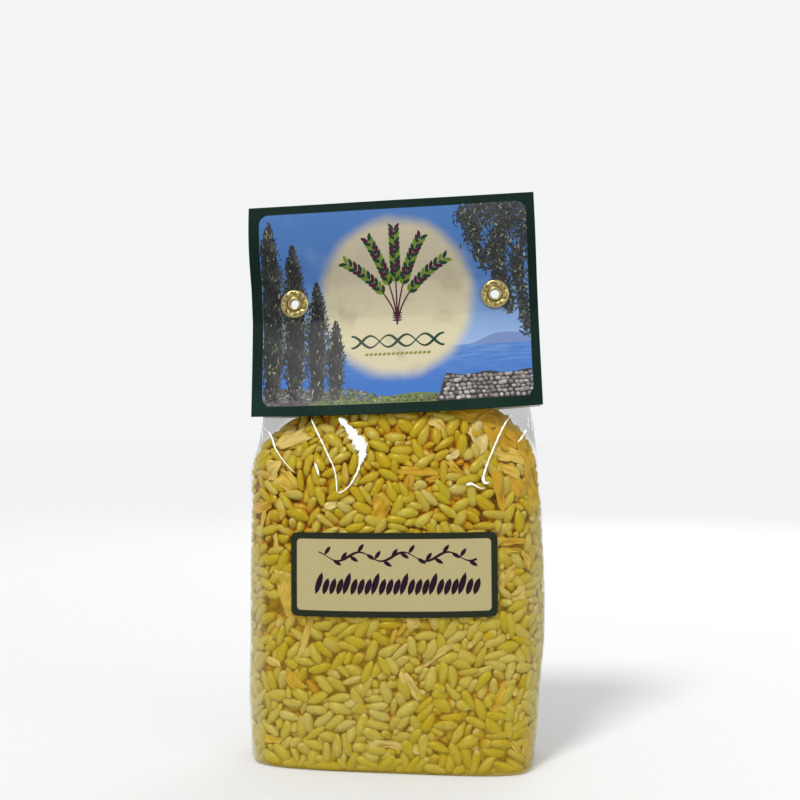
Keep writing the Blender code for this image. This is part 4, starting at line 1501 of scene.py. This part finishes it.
class Ink:
    """Flat printed shapes, gathered as points in millimetres, a colour and a layer."""

    def __init__(self):
        self.points, self.faces, self.tints, self.layers = [], [], [], []
        self.count = 0

    def add(self, u, v, faces, tint, layer):
        """Adds points and the faces between them, in one colour or one for each point."""
        u, v = np.ravel(u), np.ravel(v)
        self.points.append(np.stack((u, v), -1))
        self.faces.append(faces + self.count)
        self.tints.append(np.broadcast_to(tint, (len(u), 3)))
        self.layers.append(np.broadcast_to(layer, len(u)))
        self.count += len(u)

    def band(self, low, high, left, right, tint, layer, columns=60, rows=8):
        """A strip between two edges, given as functions of the place across."""
        u = np.linspace(left, right, columns)[None, :]
        t = np.linspace(0.0, 1.0, rows)[:, None]
        v = low(u) + (high(u) - low(u)) * t
        self.add(np.broadcast_to(u, v.shape), v, grid_quads(rows, columns), tint, layer)

    def leaves(self, u, v, turn, long, wide, tint, layer, round_end=1.0):
        """Many lens shapes: half width is a sine along the leaf, to a power.

        Each leaf lies a little higher than the one before, so that none meet.
        """
        u, v, turn, long, wide = (
            np.reshape(a, (-1, 1, 1)) for a in np.broadcast_arrays(u, v, turn, long, wide)
        )
        count, stations = len(u), 6
        t = np.linspace(0.0, 1.0, stations)[None, :, None]
        side = np.array((-1.0, 1.0))[None, None, :]
        ahead = (t - 0.5) * long + 0.0 * side
        across = 0.5 * np.sin(np.pi * t) ** round_end * side * wide
        c, k = np.cos(turn), np.sin(turn)
        faces = repeated(grid_quads(stations, 2), count, 2 * stations)
        tints = np.repeat(np.broadcast_to(tint, (count, 3)), 2 * stations, 0)
        layers = np.repeat(layer + np.linspace(0.0, 0.9, count), 2 * stations)
        self.add(
            u + c * ahead - k * across, v + k * ahead + c * across, faces, tints, layers
        )

    def line(self, u, v, wide, tint, layer, columns=2):
        """A stroke of a given width along a path."""
        du, dv = np.gradient(u), np.gradient(v)
        run = np.hypot(du, dv) + 1e-9
        off = 0.5 * wide * np.stack((-dv / run, du / run))
        share = np.linspace(-1.0, 1.0, columns)
        both = np.stack((u, v))[..., None] + off[..., None] * share
        self.add(both[0], both[1], grid_quads(len(u), columns), tint, layer)

    def piece(self, name, place, finish, slot, clip=None):
        """Makes the ink one mesh. place turns (u, v, lift) into a place on the pack.

        clip tells, from the middles of the faces in millimetres, which of them stay.
        """
        flat, faces = np.concatenate(self.points), np.concatenate(self.faces)
        if clip:
            faces = faces[clip(*flat[faces].mean(1).T)]
        lift = (0.02 + 0.015 * np.concatenate(self.layers)) * MM
        ink = opaque(np.concatenate(self.tints))
        points = place(*(flat.T * MM), lift)
        make_piece(name, points, (faces,), (finish,), values={"ink": ink})


def ink_material(name, rough):
    """Printed colour from the piece's own attribute, with a slight screen texture."""
    f = Finish(name)
    f.principled(
        Base_Color=f.screened(f.attribute("ink", "Color"), 0.15, f.noise(1500.0)),
        Roughness=rough,
        Specular_IOR_Level=0.12,
    )
    return f.material


def mixed(rng, count, first, second, spread=0.25):
    """Random colours between two, each a little lighter or darker."""
    share = rng.random((count, 1))
    tint = np.array(first) * (1.0 - share) + np.array(second) * share
    return tint * np.exp(rng.normal(0.0, spread, (count, 1)))


LEAF_DARK, LEAF_GREY = (0.010, 0.011, 0.012), (0.062, 0.069, 0.060)
FAR_HILLS, STONY_FIELD = (0.115, 0.17, 0.33), (0.070, 0.063, 0.062)
MEADOW_GREEN, WALL_SHADE = (0.10, 0.135, 0.030), (0.030, 0.027, 0.030)
SHOOT_BROWN = (0.05, 0.04, 0.03)
EAR_GREEN, EAR_LIME = (0.006, 0.030, 0.014), (0.09, 0.15, 0.012)
EAR_PLUM, EAR_OLIVE = (0.045, 0.005, 0.020), (0.15, 0.17, 0.02)
# Levels on the card, the disc's middle and half size, and what of the picture is
# printed: the middle and the reach of its corners' centres, in millimetres.
WATER_LINE, PRINT_FOOT = 22.6, 3.4
DISC_MIDDLE, DISC_HALF = (1.3, 40.6), (27.0, 27.6)
PRINT_MIDDLE, PRINT_REACH, PRINT_CORNER = (0.5, 37.9), (44.2, 31.0), 3.4
CLEAR_OF_EYELET = 3.2


def draw_foliage(ink, rng, u, v, turn, light, layer=3):
    """Small thin leaves inside the picture, from black to grey green as light goes 0 to 1."""
    count = len(u)
    light = np.clip(light + rng.normal(0.0, 0.16, count), 0.0, 1.0)[:, None] ** 2
    tint = np.array(LEAF_DARK) * (1.0 - light) + np.array(LEAF_GREY) * light
    brown = rng.random(count) < 0.03
    tint[brown] = mixed(rng, int(brown.sum()), (0.024, 0.017, 0.012), (0.075, 0.055, 0.030), 0.3)
    lit = rng.random(count) < 0.05
    tint[lit] = mixed(rng, int(lit.sum()), (0.10, 0.12, 0.05), (0.24, 0.24, 0.18), 0.2)
    long, wide = rng.uniform(1.0, 2.3, count), rng.uniform(0.28, 0.58, count)
    ink.leaves(u, v, turn, long, wide, tint, layer)


def cypress_body(t):
    """A cypress's width from foot to top: a sine that starts early, to a power."""
    return np.sin(np.pi * np.clip(t * 0.93 + 0.07, 0.0, 1.0)) ** 0.7


def draw_cypresses(ink, rng):
    """A row of cypresses: each a dark lens, filled and edged with small leaves.

    The leaves point up and outward, and are lighter towards the right, where light falls.
    """
    for middle, top, wide in (
        (-44.0, 69.0, 12.0), (-35.5, 60.5, 10.5), (-27.5, 47.0, 9.0), (-20.8, 33.0, 7.0)
    ):
        foot = 5.0
        t = np.linspace(0.0, 1.0, 60)
        wide_at = 0.66 * wide * cypress_body(t)
        ink.line(middle + 0.3 * np.sin(9.0 * t), foot + (top - foot) * t, wide_at, LEAF_DARK, 2, 9)
        count = int(4.2 * wide * (top - foot) / 2.0)
        t = rng.random(count) ** 0.9
        aside = rng.uniform(-1.0, 1.0, count) + rng.normal(0.0, 0.10, count)
        v = foot + (top - foot) * t
        turn = np.pi / 2 - 0.55 * aside + rng.normal(0.0, 0.35, count)
        lumps = 0.5 + 0.5 * np.sin(v / 1.9 + 2.0 * aside + middle)
        light = 0.15 + 0.35 * smoothstep(-0.2, 1.0, aside) + 0.35 * lumps
        u = middle + 0.46 * wide * cypress_body(t) * aside
        draw_foliage(ink, rng, u, v, turn, light)


def draw_vine(ink, rng):
    """Shoots that hang from the corner, thick with leaves."""
    for start, sway, drop in (
        (47.5, -2.0, 46.0), (44.5, -6.0, 38.0), (41.0, -4.0, 31.0), (37.0, -7.0, 22.0),
        (33.0, -5.0, 13.0), (29.0, -3.0, 7.0),
    ):
        t = np.linspace(0.0, 1.0, 26)
        u = start + sway * np.sin(2.4 * t) + 1.2 * np.sin(9.0 * t)
        v = 72.6 - drop * t
        ink.line(u, v, 0.6 * (1.1 - t), SHOOT_BROWN, 2)
        count = int(27.0 * drop)
        pick = rng.random(count)
        u = np.interp(pick, t, u) + rng.normal(0.0, 1.9, count) * (1.15 - 0.6 * pick)
        v = np.interp(pick, t, v) + rng.normal(0.0, 1.2, count)
        light = 0.25 + 0.5 * rng.random(count)
        draw_foliage(ink, rng, u, v, rng.uniform(-2.9, -0.3, count), light)


def draw_landscape(ink, rng):
    """Far hills, a stony field, a low wall of grey stones, cypresses and a vine.

    Each band's edge is a level, with soft steps and slow sine waves along the card.
    """

    def water(u):
        return WATER_LINE + 0.0 * u

    def hills(u):
        return WATER_LINE + (2.8 + 1.0 * np.sin(u / 5.0)) * smoothstep(24.0, 36.0, u)

    def foot(u):
        return PRINT_FOOT + 0.0 * u

    def field(u):
        return PRINT_FOOT + (5.6 + 1.4 * np.sin(u / 7.0 + 2.0)) * smoothstep(-8.0, -26.0, u)

    def meadow(u):
        return 6.0 + 0.7 * np.sin(u / 5.0)

    def crest(u):
        return PRINT_FOOT + 9.0 * smoothstep(14.5, 18.5, u) + 0.5 * np.sin(u / 2.3)

    ink.band(water, hills, 25.0, 48.2, FAR_HILLS, 0)
    ink.band(foot, field, -47.6, -8.0, STONY_FIELD, 0)
    ink.band(foot, meadow, -30.0, 24.0, MEADOW_GREEN, 1)
    draw_ground(ink, rng)
    draw_cypresses(ink, rng)
    draw_vine(ink, rng)
    ink.band(foot, crest, 14.0, 50.0, WALL_SHADE, 4, 90)
    draw_stones(ink, rng)


def draw_ground(ink, rng, count=1300):
    """Short strokes low on the card: stones to the left, and grass from there on."""
    u = rng.uniform(-47.4, 22.0, count)
    v = 3.8 + rng.random(count) * (1.8 + 3.8 * smoothstep(0.0, -20.0, u))
    tint = mixed(rng, count, (0.030, 0.026, 0.032), (0.16, 0.145, 0.14), 0.35)
    grass = rng.random(count) < 0.06 + 0.75 * smoothstep(-30.0, -10.0, u)
    tint[grass] = mixed(rng, int(grass.sum()), (0.030, 0.050, 0.012), (0.12, 0.15, 0.04), 0.3)
    ink.leaves(u, v, rng.normal(0.0, 0.5, count), rng.uniform(0.7, 1.7, count),
               rng.uniform(0.3, 0.6, count), tint, 2, 0.6)


def draw_stones(ink, rng):
    """The wall's stones in six rows, each a blunt lens with a lighter one on top."""
    for row in range(6):
        odd = row % 2
        count = 18 - odd
        u = np.linspace(16.6 + 0.9 * odd + 0.3 * row, 48.6 - 0.9 * odd, count)
        u = u + rng.normal(0.0, 0.30, count)
        v = 4.4 + 1.42 * row + rng.normal(0.0, 0.14, count)
        tint = mixed(rng, count, (0.10, 0.092, 0.090), (0.25, 0.23, 0.21), 0.18)
        long, wide = rng.uniform(1.3, 2.3, count), rng.uniform(0.95, 1.45, count)
        ink.leaves(u, v, rng.normal(0.0, 0.12, count), long, wide, tint, 5, 0.45)
        ink.leaves(u - 0.1, v + 0.22, rng.normal(0.0, 0.12, count), 0.75 * long, 0.45 * wide,
                   1.45 * tint, 6, 0.5)


def draw_emblem(ink):
    """Five bowed ears of rice tied at the foot, over a plain double flourish."""
    tints = np.array((EAR_GREEN, EAR_LIME, EAR_GREEN, EAR_PLUM))
    middle, foot = DISC_MIDDLE[0], 31.0
    for bow, tall, count in (
        (0.0, 33.0, 12), (-9.0, 31.0, 11), (9.0, 31.0, 11), (-17.0, 25.0, 10), (17.0, 25.0, 10)
    ):
        t = np.linspace(0.0, 1.0, 40)
        u, v = middle + bow * t**1.7, foot + tall * t - 0.16 * abs(bow) * t**3
        ink.line(u, v, 0.6 - 0.3 * t, EAR_PLUM, 1)
        place = np.linspace(0.46, 1.0, count)
        ahead = np.arctan2(np.gradient(v), np.gradient(u))
        for side in (-1.0, 1.0):
            turn = np.interp(place, t, ahead) + side * 0.60
            gu = np.interp(place, t, u) + 1.75 * np.cos(turn)
            gv = np.interp(place, t, v) + 1.75 * np.sin(turn)
            picks = tints[(np.arange(count) + (side > 0)) % 4]
            ink.leaves(gu, gv, turn, 3.3, 1.3, picks, 2, 0.8)
    ink.leaves(middle, foot + np.array((1.6, 2.5, 3.4, 4.3)), 0.0, 3.8, 0.85, EAR_PLUM, 3)
    x = np.linspace(-16.5, 16.5, 90)
    phase = x / 2.05
    for sign in (1.0, -1.0):
        v = 25.2 + sign * 2.1 * np.sin(phase)
        ink.line(middle + x, v, 0.7 + 0.25 * np.cos(phase), EAR_GREEN, 1)
    dots = middle + np.linspace(-11.0, 11.0, 15)
    ink.leaves(dots, 20.6, 0.5, 1.5, 0.95, EAR_OLIVE, 1, 0.6)


class SAFFRON_OT_print(Operator):
    """Print a generic shore and an emblem of rice ears on both sides of the card"""

    bl_idname = "saffron_bag.print"
    bl_label = "Card print"

    def execute(self, context):
        rng = np.random.default_rng(PRINT_SEED)
        ink = Ink()
        draw_landscape(ink, rng)
        draw_emblem(ink)
        finish = ink_material("card_ink", 0.38)
        for side, name in ((-1.0, "print_front"), (1.0, "print_back")):
            place, clip = partial(self.place, side), partial(self.printed, side)
            ink.piece(name, place, finish, "printed_card", clip)
        return {"FINISHED"}

    def place(self, side, u, v, lift):
        """A place in the picture, which reads the same way round from either side."""
        return on_card(-side * u, v, CARD_THICKNESS + lift, side)

    def printed(self, side, u, v):
        """Tells what lies in the round-cornered picture and clear of the eyelets."""
        over = np.abs((u - PRINT_MIDDLE[0], v - PRINT_MIDDLE[1])) - np.array([PRINT_REACH]).T
        inside = np.hypot(*np.maximum(over, 0.0)) < PRINT_CORNER
        for at, _ in eyelet_places():
            away = np.hypot(-side * u - at / MM, v - EYELET_HEIGHT / MM)
            inside &= away > CLEAR_OF_EYELET
        return inside


# ---------------------------------------------------------------- the eyelets


class SAFFRON_OT_eyelets(Operator):
    """Turn the two pressed brass eyelets"""

    bl_idname = "saffron_bag.eyelets"
    bl_label = "Eyelets"

    def execute(self, context):
        brass = context.scene.saffron_eyelet
        seat = CARD_PINCH + CARD_THICKNESS + 0.1 * MM
        profile = self.profile(brass, seat)
        finish = self.material(brass)
        turn = np.linspace(0.0, 2.0 * np.pi, 128, endpoint=False)[None, :]
        radius, depth = profile[:, :1], profile[:, 1:]
        ring = np.exp(-(((radius - 3.8 * MM) / (0.75 * MM)) ** 4)) * (depth < -seat - 0.3 * MM)
        beat = sum(
            np.sin(round(k * brass.marks / 7) * turn + k * k + (k % 3 - 1) * radius / (0.4 * MM))
            for k in (6, 9, 13)
        )
        mark = ring * np.clip(0.8 * beat, -1.0, 1.2)
        # Patina in the groove and the pressed marks; the bore's inner wall is darkened too, as
        # painted shade.
        groove = np.exp(-(((radius - 2.72 * MM) / (0.30 * MM)) ** 2)) + (radius < 1.7 * MM)
        patina = 0.8 * groove + ring * (0.35 - 0.45 * mark)
        depth = depth - 0.12 * MM * mark + 0.0 * turn
        for place, node in eyelet_places():
            x = place + radius * np.cos(turn)
            z = EYELET_HEIGHT + radius * np.sin(turn)
            grid = in_header(np.stack((x, depth, z), -1))
            quads = grid_quads(len(profile), 128, closed=True)
            piece = make_piece(node + "_ring", grid, (quads,), (finish,),
                               values={"patina": (patina + 0.0 * turn).ravel()})
            merge_doubles(piece)
            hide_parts(node)
        return {"FINISHED"}

    def profile(self, brass, seat):
        """(radius, depth) round the wall, each bend rounded by cutting its corners.

        A row says where the radius is measured from and how many millimetres more it
        is, and then the same for the depth. The path runs from the bore's middle round
        the front flange to the card, and from the card round the back one.
        """
        bore, flange = brass.bore, brass.flange
        rows = np.array((
            (bore, 0.0, 0.0, 0.0), (bore, 0.0, -seat, -0.70), (bore, 0.08, -seat, -1.15),
            (bore, 0.42, -seat, -1.25), (bore, 0.78, -seat, -1.00), (bore, 0.95, -seat, -0.62),
            (bore, 1.35, -seat, -0.58), (0.0, 3.7, -seat, -0.80), (flange, -0.60, -seat, -0.74),
            (flange, 0.0, -seat, -0.28), (flange, -0.12, -seat, 0.0), (0.0, 2.0, -seat, 0.0),
            (0.0, 2.0, seat, 0.0), (0.0, 4.7, seat, 0.0), (0.0, 4.7, seat, 0.35),
            (bore, 1.2, seat, 0.38), (bore, 0.7, seat, 0.8), (bore, 0.1, seat, 0.45),
            (bore, 0.0, 0.0, 0.0),
        ))
        return cut_corners(rows[:, ::2] + rows[:, 1::2] * MM, 2)

    def material(self, brass):
        """Bright pressed brass, duller and browner in its hollows, and darkened in the bore as
        painted shade.
        """
        f = Finish("pressed_brass")
        blotch = f.ramp(f.noise(420.0, 4.0), 0.4, 0.8, 0.35)
        worn = f.math("ADD", f.attribute("patina"), blotch, clamp=True)
        f.principled(
            Base_Color=f.mix(worn, brass.brass, brass.hollow),
            Metallic=1.0,
            Roughness=f.ramp(f.noise(520.0, 3.0), -0.5, 2.6, soft=False),
            Normal=f.bump(f.noise(650.0, 3.0), 0.1 * MM, 0.5),
        )
        return f.material


# ------------------------------------------------------------------ the label


# The corner of the label's cream field and its ornament's ends, in millimetres, and
# the colours of the paper's fibres.
FIELD_CORNER = 1.3
FIELD_FIBRE, BORDER_FIBRE = (0.325, 0.278, 0.138), (0.013, 0.018, 0.009)
ORNAMENT_FROM, ORNAMENT_TO = -25.5, 28.5


def on_label(u, v, lift):
    """A place on the label: its turned rectangle, laid on the bag's front."""
    c, s = np.cos(LABEL_TURN), np.sin(LABEL_TURN)
    x = LABEL_CENTRE[0] + c * u - s * v
    z = LABEL_CENTRE[1] + s * u + c * v
    return np.stack((x, front_of_bag(x, z) - OFF_THE_BAG - lift, z), -1)


class SAFFRON_OT_label(Operator):
    """Stick the cream label with its dark border and plain ornament on the front"""

    bl_idname = "saffron_bag.label"
    bl_label = "Label"

    def execute(self, context):
        label = context.scene.saffron_label
        v = 0.5 * LABEL_SIZE[1] * np.sin(0.5 * np.pi * np.linspace(-1.0, 1.0, 41))
        inset = np.clip(np.abs(v) - (0.5 * LABEL_SIZE[1] - label.corner), 0.0, label.corner)
        half = 0.5 * LABEL_SIZE[0] - label.corner + np.sqrt(label.corner**2 - inset**2)
        share = np.sin(0.5 * np.pi * np.linspace(-1.0, 1.0, 91))
        u = half[:, None] * share[None, :]
        rise = np.broadcast_to(v[:, None], u.shape)
        outer, inner = on_label(u, rise, label.thickness), on_label(u, rise, 0.0)
        points, quads, part = thick_sheet(outer, inner)
        sheet = np.stack((u, rise, 0.0 * u), -1).reshape(-1, 3) / MM
        piece = make_piece(
            "label_sheet", points, (quads,), (self.material(label), board_material()),
            part=part % 2, sharp=True,
            values={"sheet": np.concatenate((sheet, sheet))},
        )
        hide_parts("label")
        self.add_ornament(label)
        return {"FINISHED"}

    def material(self, label):
        """Cream paper inside a dark border with round corners."""
        f = Finish("printed_label")
        sheet, u, v = f.sheet()
        reach = LABEL_SIZE / MM / 2.0 - label.border_width / MM
        framed = rounded(f, u, v, reach, FIELD_CORNER, 0.1)
        fibre = f.noise(0.6, 5.0, sheet)
        field = f.mix(fibre, label.field, FIELD_FIBRE)
        border = f.mix(fibre, label.border, BORDER_FIBRE)
        f.principled(
            Base_Color=f.mix(framed, field, border),
            Roughness=f.ramp(fibre, -1.0, 2.0, soft=False),
            Specular_IOR_Level=0.12,
            Normal=f.bump(f.noise(3.0, 3.0, sheet), 0.04 * MM, 0.3),
        )
        return f.material

    def add_ornament(self, label):
        """A thin tendril with leaves, above a bold row of slanted leaves."""
        ink = Ink()
        tint = tuple(label.ink)
        u = np.linspace(ORNAMENT_FROM, ORNAMENT_TO, 260)
        ink.line(u, self.tendril(u), 0.60 + 0.30 * np.cos(u / 2.4), tint, 1)
        u = np.arange(-23.5, 28.0, 2.9)
        turn = np.where(np.arange(len(u)) % 2 == 0, 0.95, -0.55)
        ink.leaves(u + 1.8 * np.cos(turn), self.tendril(u) + 1.8 * np.sin(turn), turn,
                   3.6, 1.35, tint, 1, 0.8)
        u = np.linspace(ORNAMENT_FROM, ORNAMENT_TO, 23)
        tall = np.where(np.arange(len(u)) % 4 == 0, 8.0, 6.0)
        ink.leaves(u, 0.5 * tall - 6.9, 1.26, tall, 2.1, tint, 1, 0.55)

        def place(u, v, lift):
            return on_label(u, v, label.thickness + lift)

        ink.piece("label_ornament", place, ink_material("label_ink", 0.4), "printed_label")

    def tendril(self, u):
        """The tendril's height, a sine wave along the label."""
        return 6.3 + 1.5 * np.sin(u / 2.4)


# ------------------------------------------------------------------ the stage

FLOOR_REACH = 40.0
LOOK_ASIDE = 1.3 * MM
# Soft lights: kind, place, size (metres, or degrees of a sun), power and colour.
LIGHTS = (
    ("key", "SUN", (-0.35, -0.75, 1.10), 14.0, 2.3, (1.0, 0.985, 0.955)),
    ("fill", "AREA", (0.80, -0.60, 0.35), 0.50, 1.4, (1.0, 1.0, 1.0)),
    ("back", "AREA", (0.30, 0.90, 0.70), 0.60, 2.0, (1.0, 1.0, 1.0)),
)


class SAFFRON_OT_stage(Operator):
    """Set the pale floor, the soft lights and the camera"""

    bl_idname = "saffron_bag.stage"
    bl_label = "Stage"

    def execute(self, context):
        stage = context.scene.saffron_stage
        self.floor(stage)
        middle = np.array((0.0, 0.0, 0.5 * CAD_BOX[1][2]))
        for name, kind, place, size, power, tint in LIGHTS:
            lamp = bpy.data.lights.new(name, kind)
            lamp.energy, lamp.color = power, tint
            if kind == "SUN":
                lamp.angle = np.radians(size)
            else:
                lamp.size = size
            self.aim(name, lamp, place, middle)
        world = bpy.data.worlds.new("studio")
        world.use_nodes = True
        sky = world.node_tree.nodes["Background"]
        sky.inputs["Color"].default_value = (0.975, 0.985, 1.0, 1.0)
        sky.inputs["Strength"].default_value = 0.92
        context.scene.world = world
        context.scene.view_settings.view_transform = "Standard"
        self.camera(stage)
        return {"FINISHED"}

    def floor(self, stage):
        """A wide pale sheet that lies under the pack."""
        corners = np.array(((-1, -1, 0), (1, -1, 0), (1, 1, 0), (-1, 1, 0)), float)
        mesh = bpy.data.meshes.new("floor")
        mesh.from_pydata(FLOOR_REACH * corners, [], [(0, 1, 2, 3)])
        floor = bpy.data.objects.new("floor", mesh)
        bpy.context.scene.collection.objects.link(floor)
        f = Finish("floor")
        f.principled(Base_Color=stage.floor, Roughness=0.9, Specular_IOR_Level=0.1)
        mesh.materials.append(f.material)

    def aim(self, name, data, place, at):
        """Puts a lamp or a camera at a place, looking at a point, its top upwards."""
        made = bpy.data.objects.new(name, data)
        bpy.context.scene.collection.objects.link(made)
        made.location = place
        way = Vector(at) - Vector(place)
        made.rotation_euler = way.to_track_quat("-Z", "Y").to_euler()
        return made

    def camera(self, stage):
        """A level camera a little to the right of the front."""
        lens = bpy.data.cameras.new("camera")
        lens.sensor_width, lens.lens, lens.shift_y = 36.0, stage.lens, 0.05
        lens.clip_start = 0.01
        c, s = np.cos(stage.azimuth), np.sin(stage.azimuth)
        at = np.array((c * LOOK_ASIDE, s * LOOK_ASIDE, stage.height))
        place = at + stage.distance * np.array((s, -c, 0.0))
        bpy.context.scene.camera = self.aim("camera", lens, place, at)


# ------------------------------------------------------------------- add-on

GROUPS = (
    ("saffron_rice", RiceSettings),
    ("saffron_onion", OnionSettings),
    ("saffron_film", FilmSettings),
    ("saffron_card", CardSettings),
    ("saffron_eyelet", EyeletSettings),
    ("saffron_label", LabelSettings),
    ("saffron_stage", StageSettings),
)
OPERATORS = (
    SAFFRON_OT_contents,
    SAFFRON_OT_film,
    SAFFRON_OT_folds,
    SAFFRON_OT_card,
    SAFFRON_OT_print,
    SAFFRON_OT_eyelets,
    SAFFRON_OT_label,
    SAFFRON_OT_stage,
)


class SAFFRON_PT_panel(Panel):
    """Lists the pack's pieces and their sizes and colours"""

    bl_idname = "SAFFRON_PT_panel"
    bl_label = "Rice bag"
    bl_space_type = "VIEW_3D"
    bl_region_type = "UI"
    bl_category = "Rice bag"

    def draw(self, context):
        for name, group in GROUPS:
            box = self.layout.box()
            box.label(text=name.split("_")[1].title())
            for key in group.__annotations__:
                box.prop(getattr(context.scene, name), key)
        for operator in OPERATORS:
            self.layout.operator(operator.bl_idname)


def register():
    """Makes the settings, the operators and the panel known to Blender."""
    for name, group in GROUPS:
        bpy.utils.register_class(group)
        setattr(bpy.types.Scene, name, PointerProperty(type=group))
    for made in (*OPERATORS, SAFFRON_PT_panel):
        bpy.utils.register_class(made)


def unregister():
    """Takes them away again, in the other order."""
    for made in (SAFFRON_PT_panel, *reversed(OPERATORS)):
        bpy.utils.unregister_class(made)
    for name, group in reversed(GROUPS):
        delattr(bpy.types.Scene, name)
        bpy.utils.unregister_class(group)


def main():
    """Builds the pack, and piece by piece."""
    register()
    for operator in OPERATORS:
        group, name = operator.bl_idname.split(".")
        getattr(getattr(bpy.ops, group), name)()


if __name__ == "__main__":
    main()
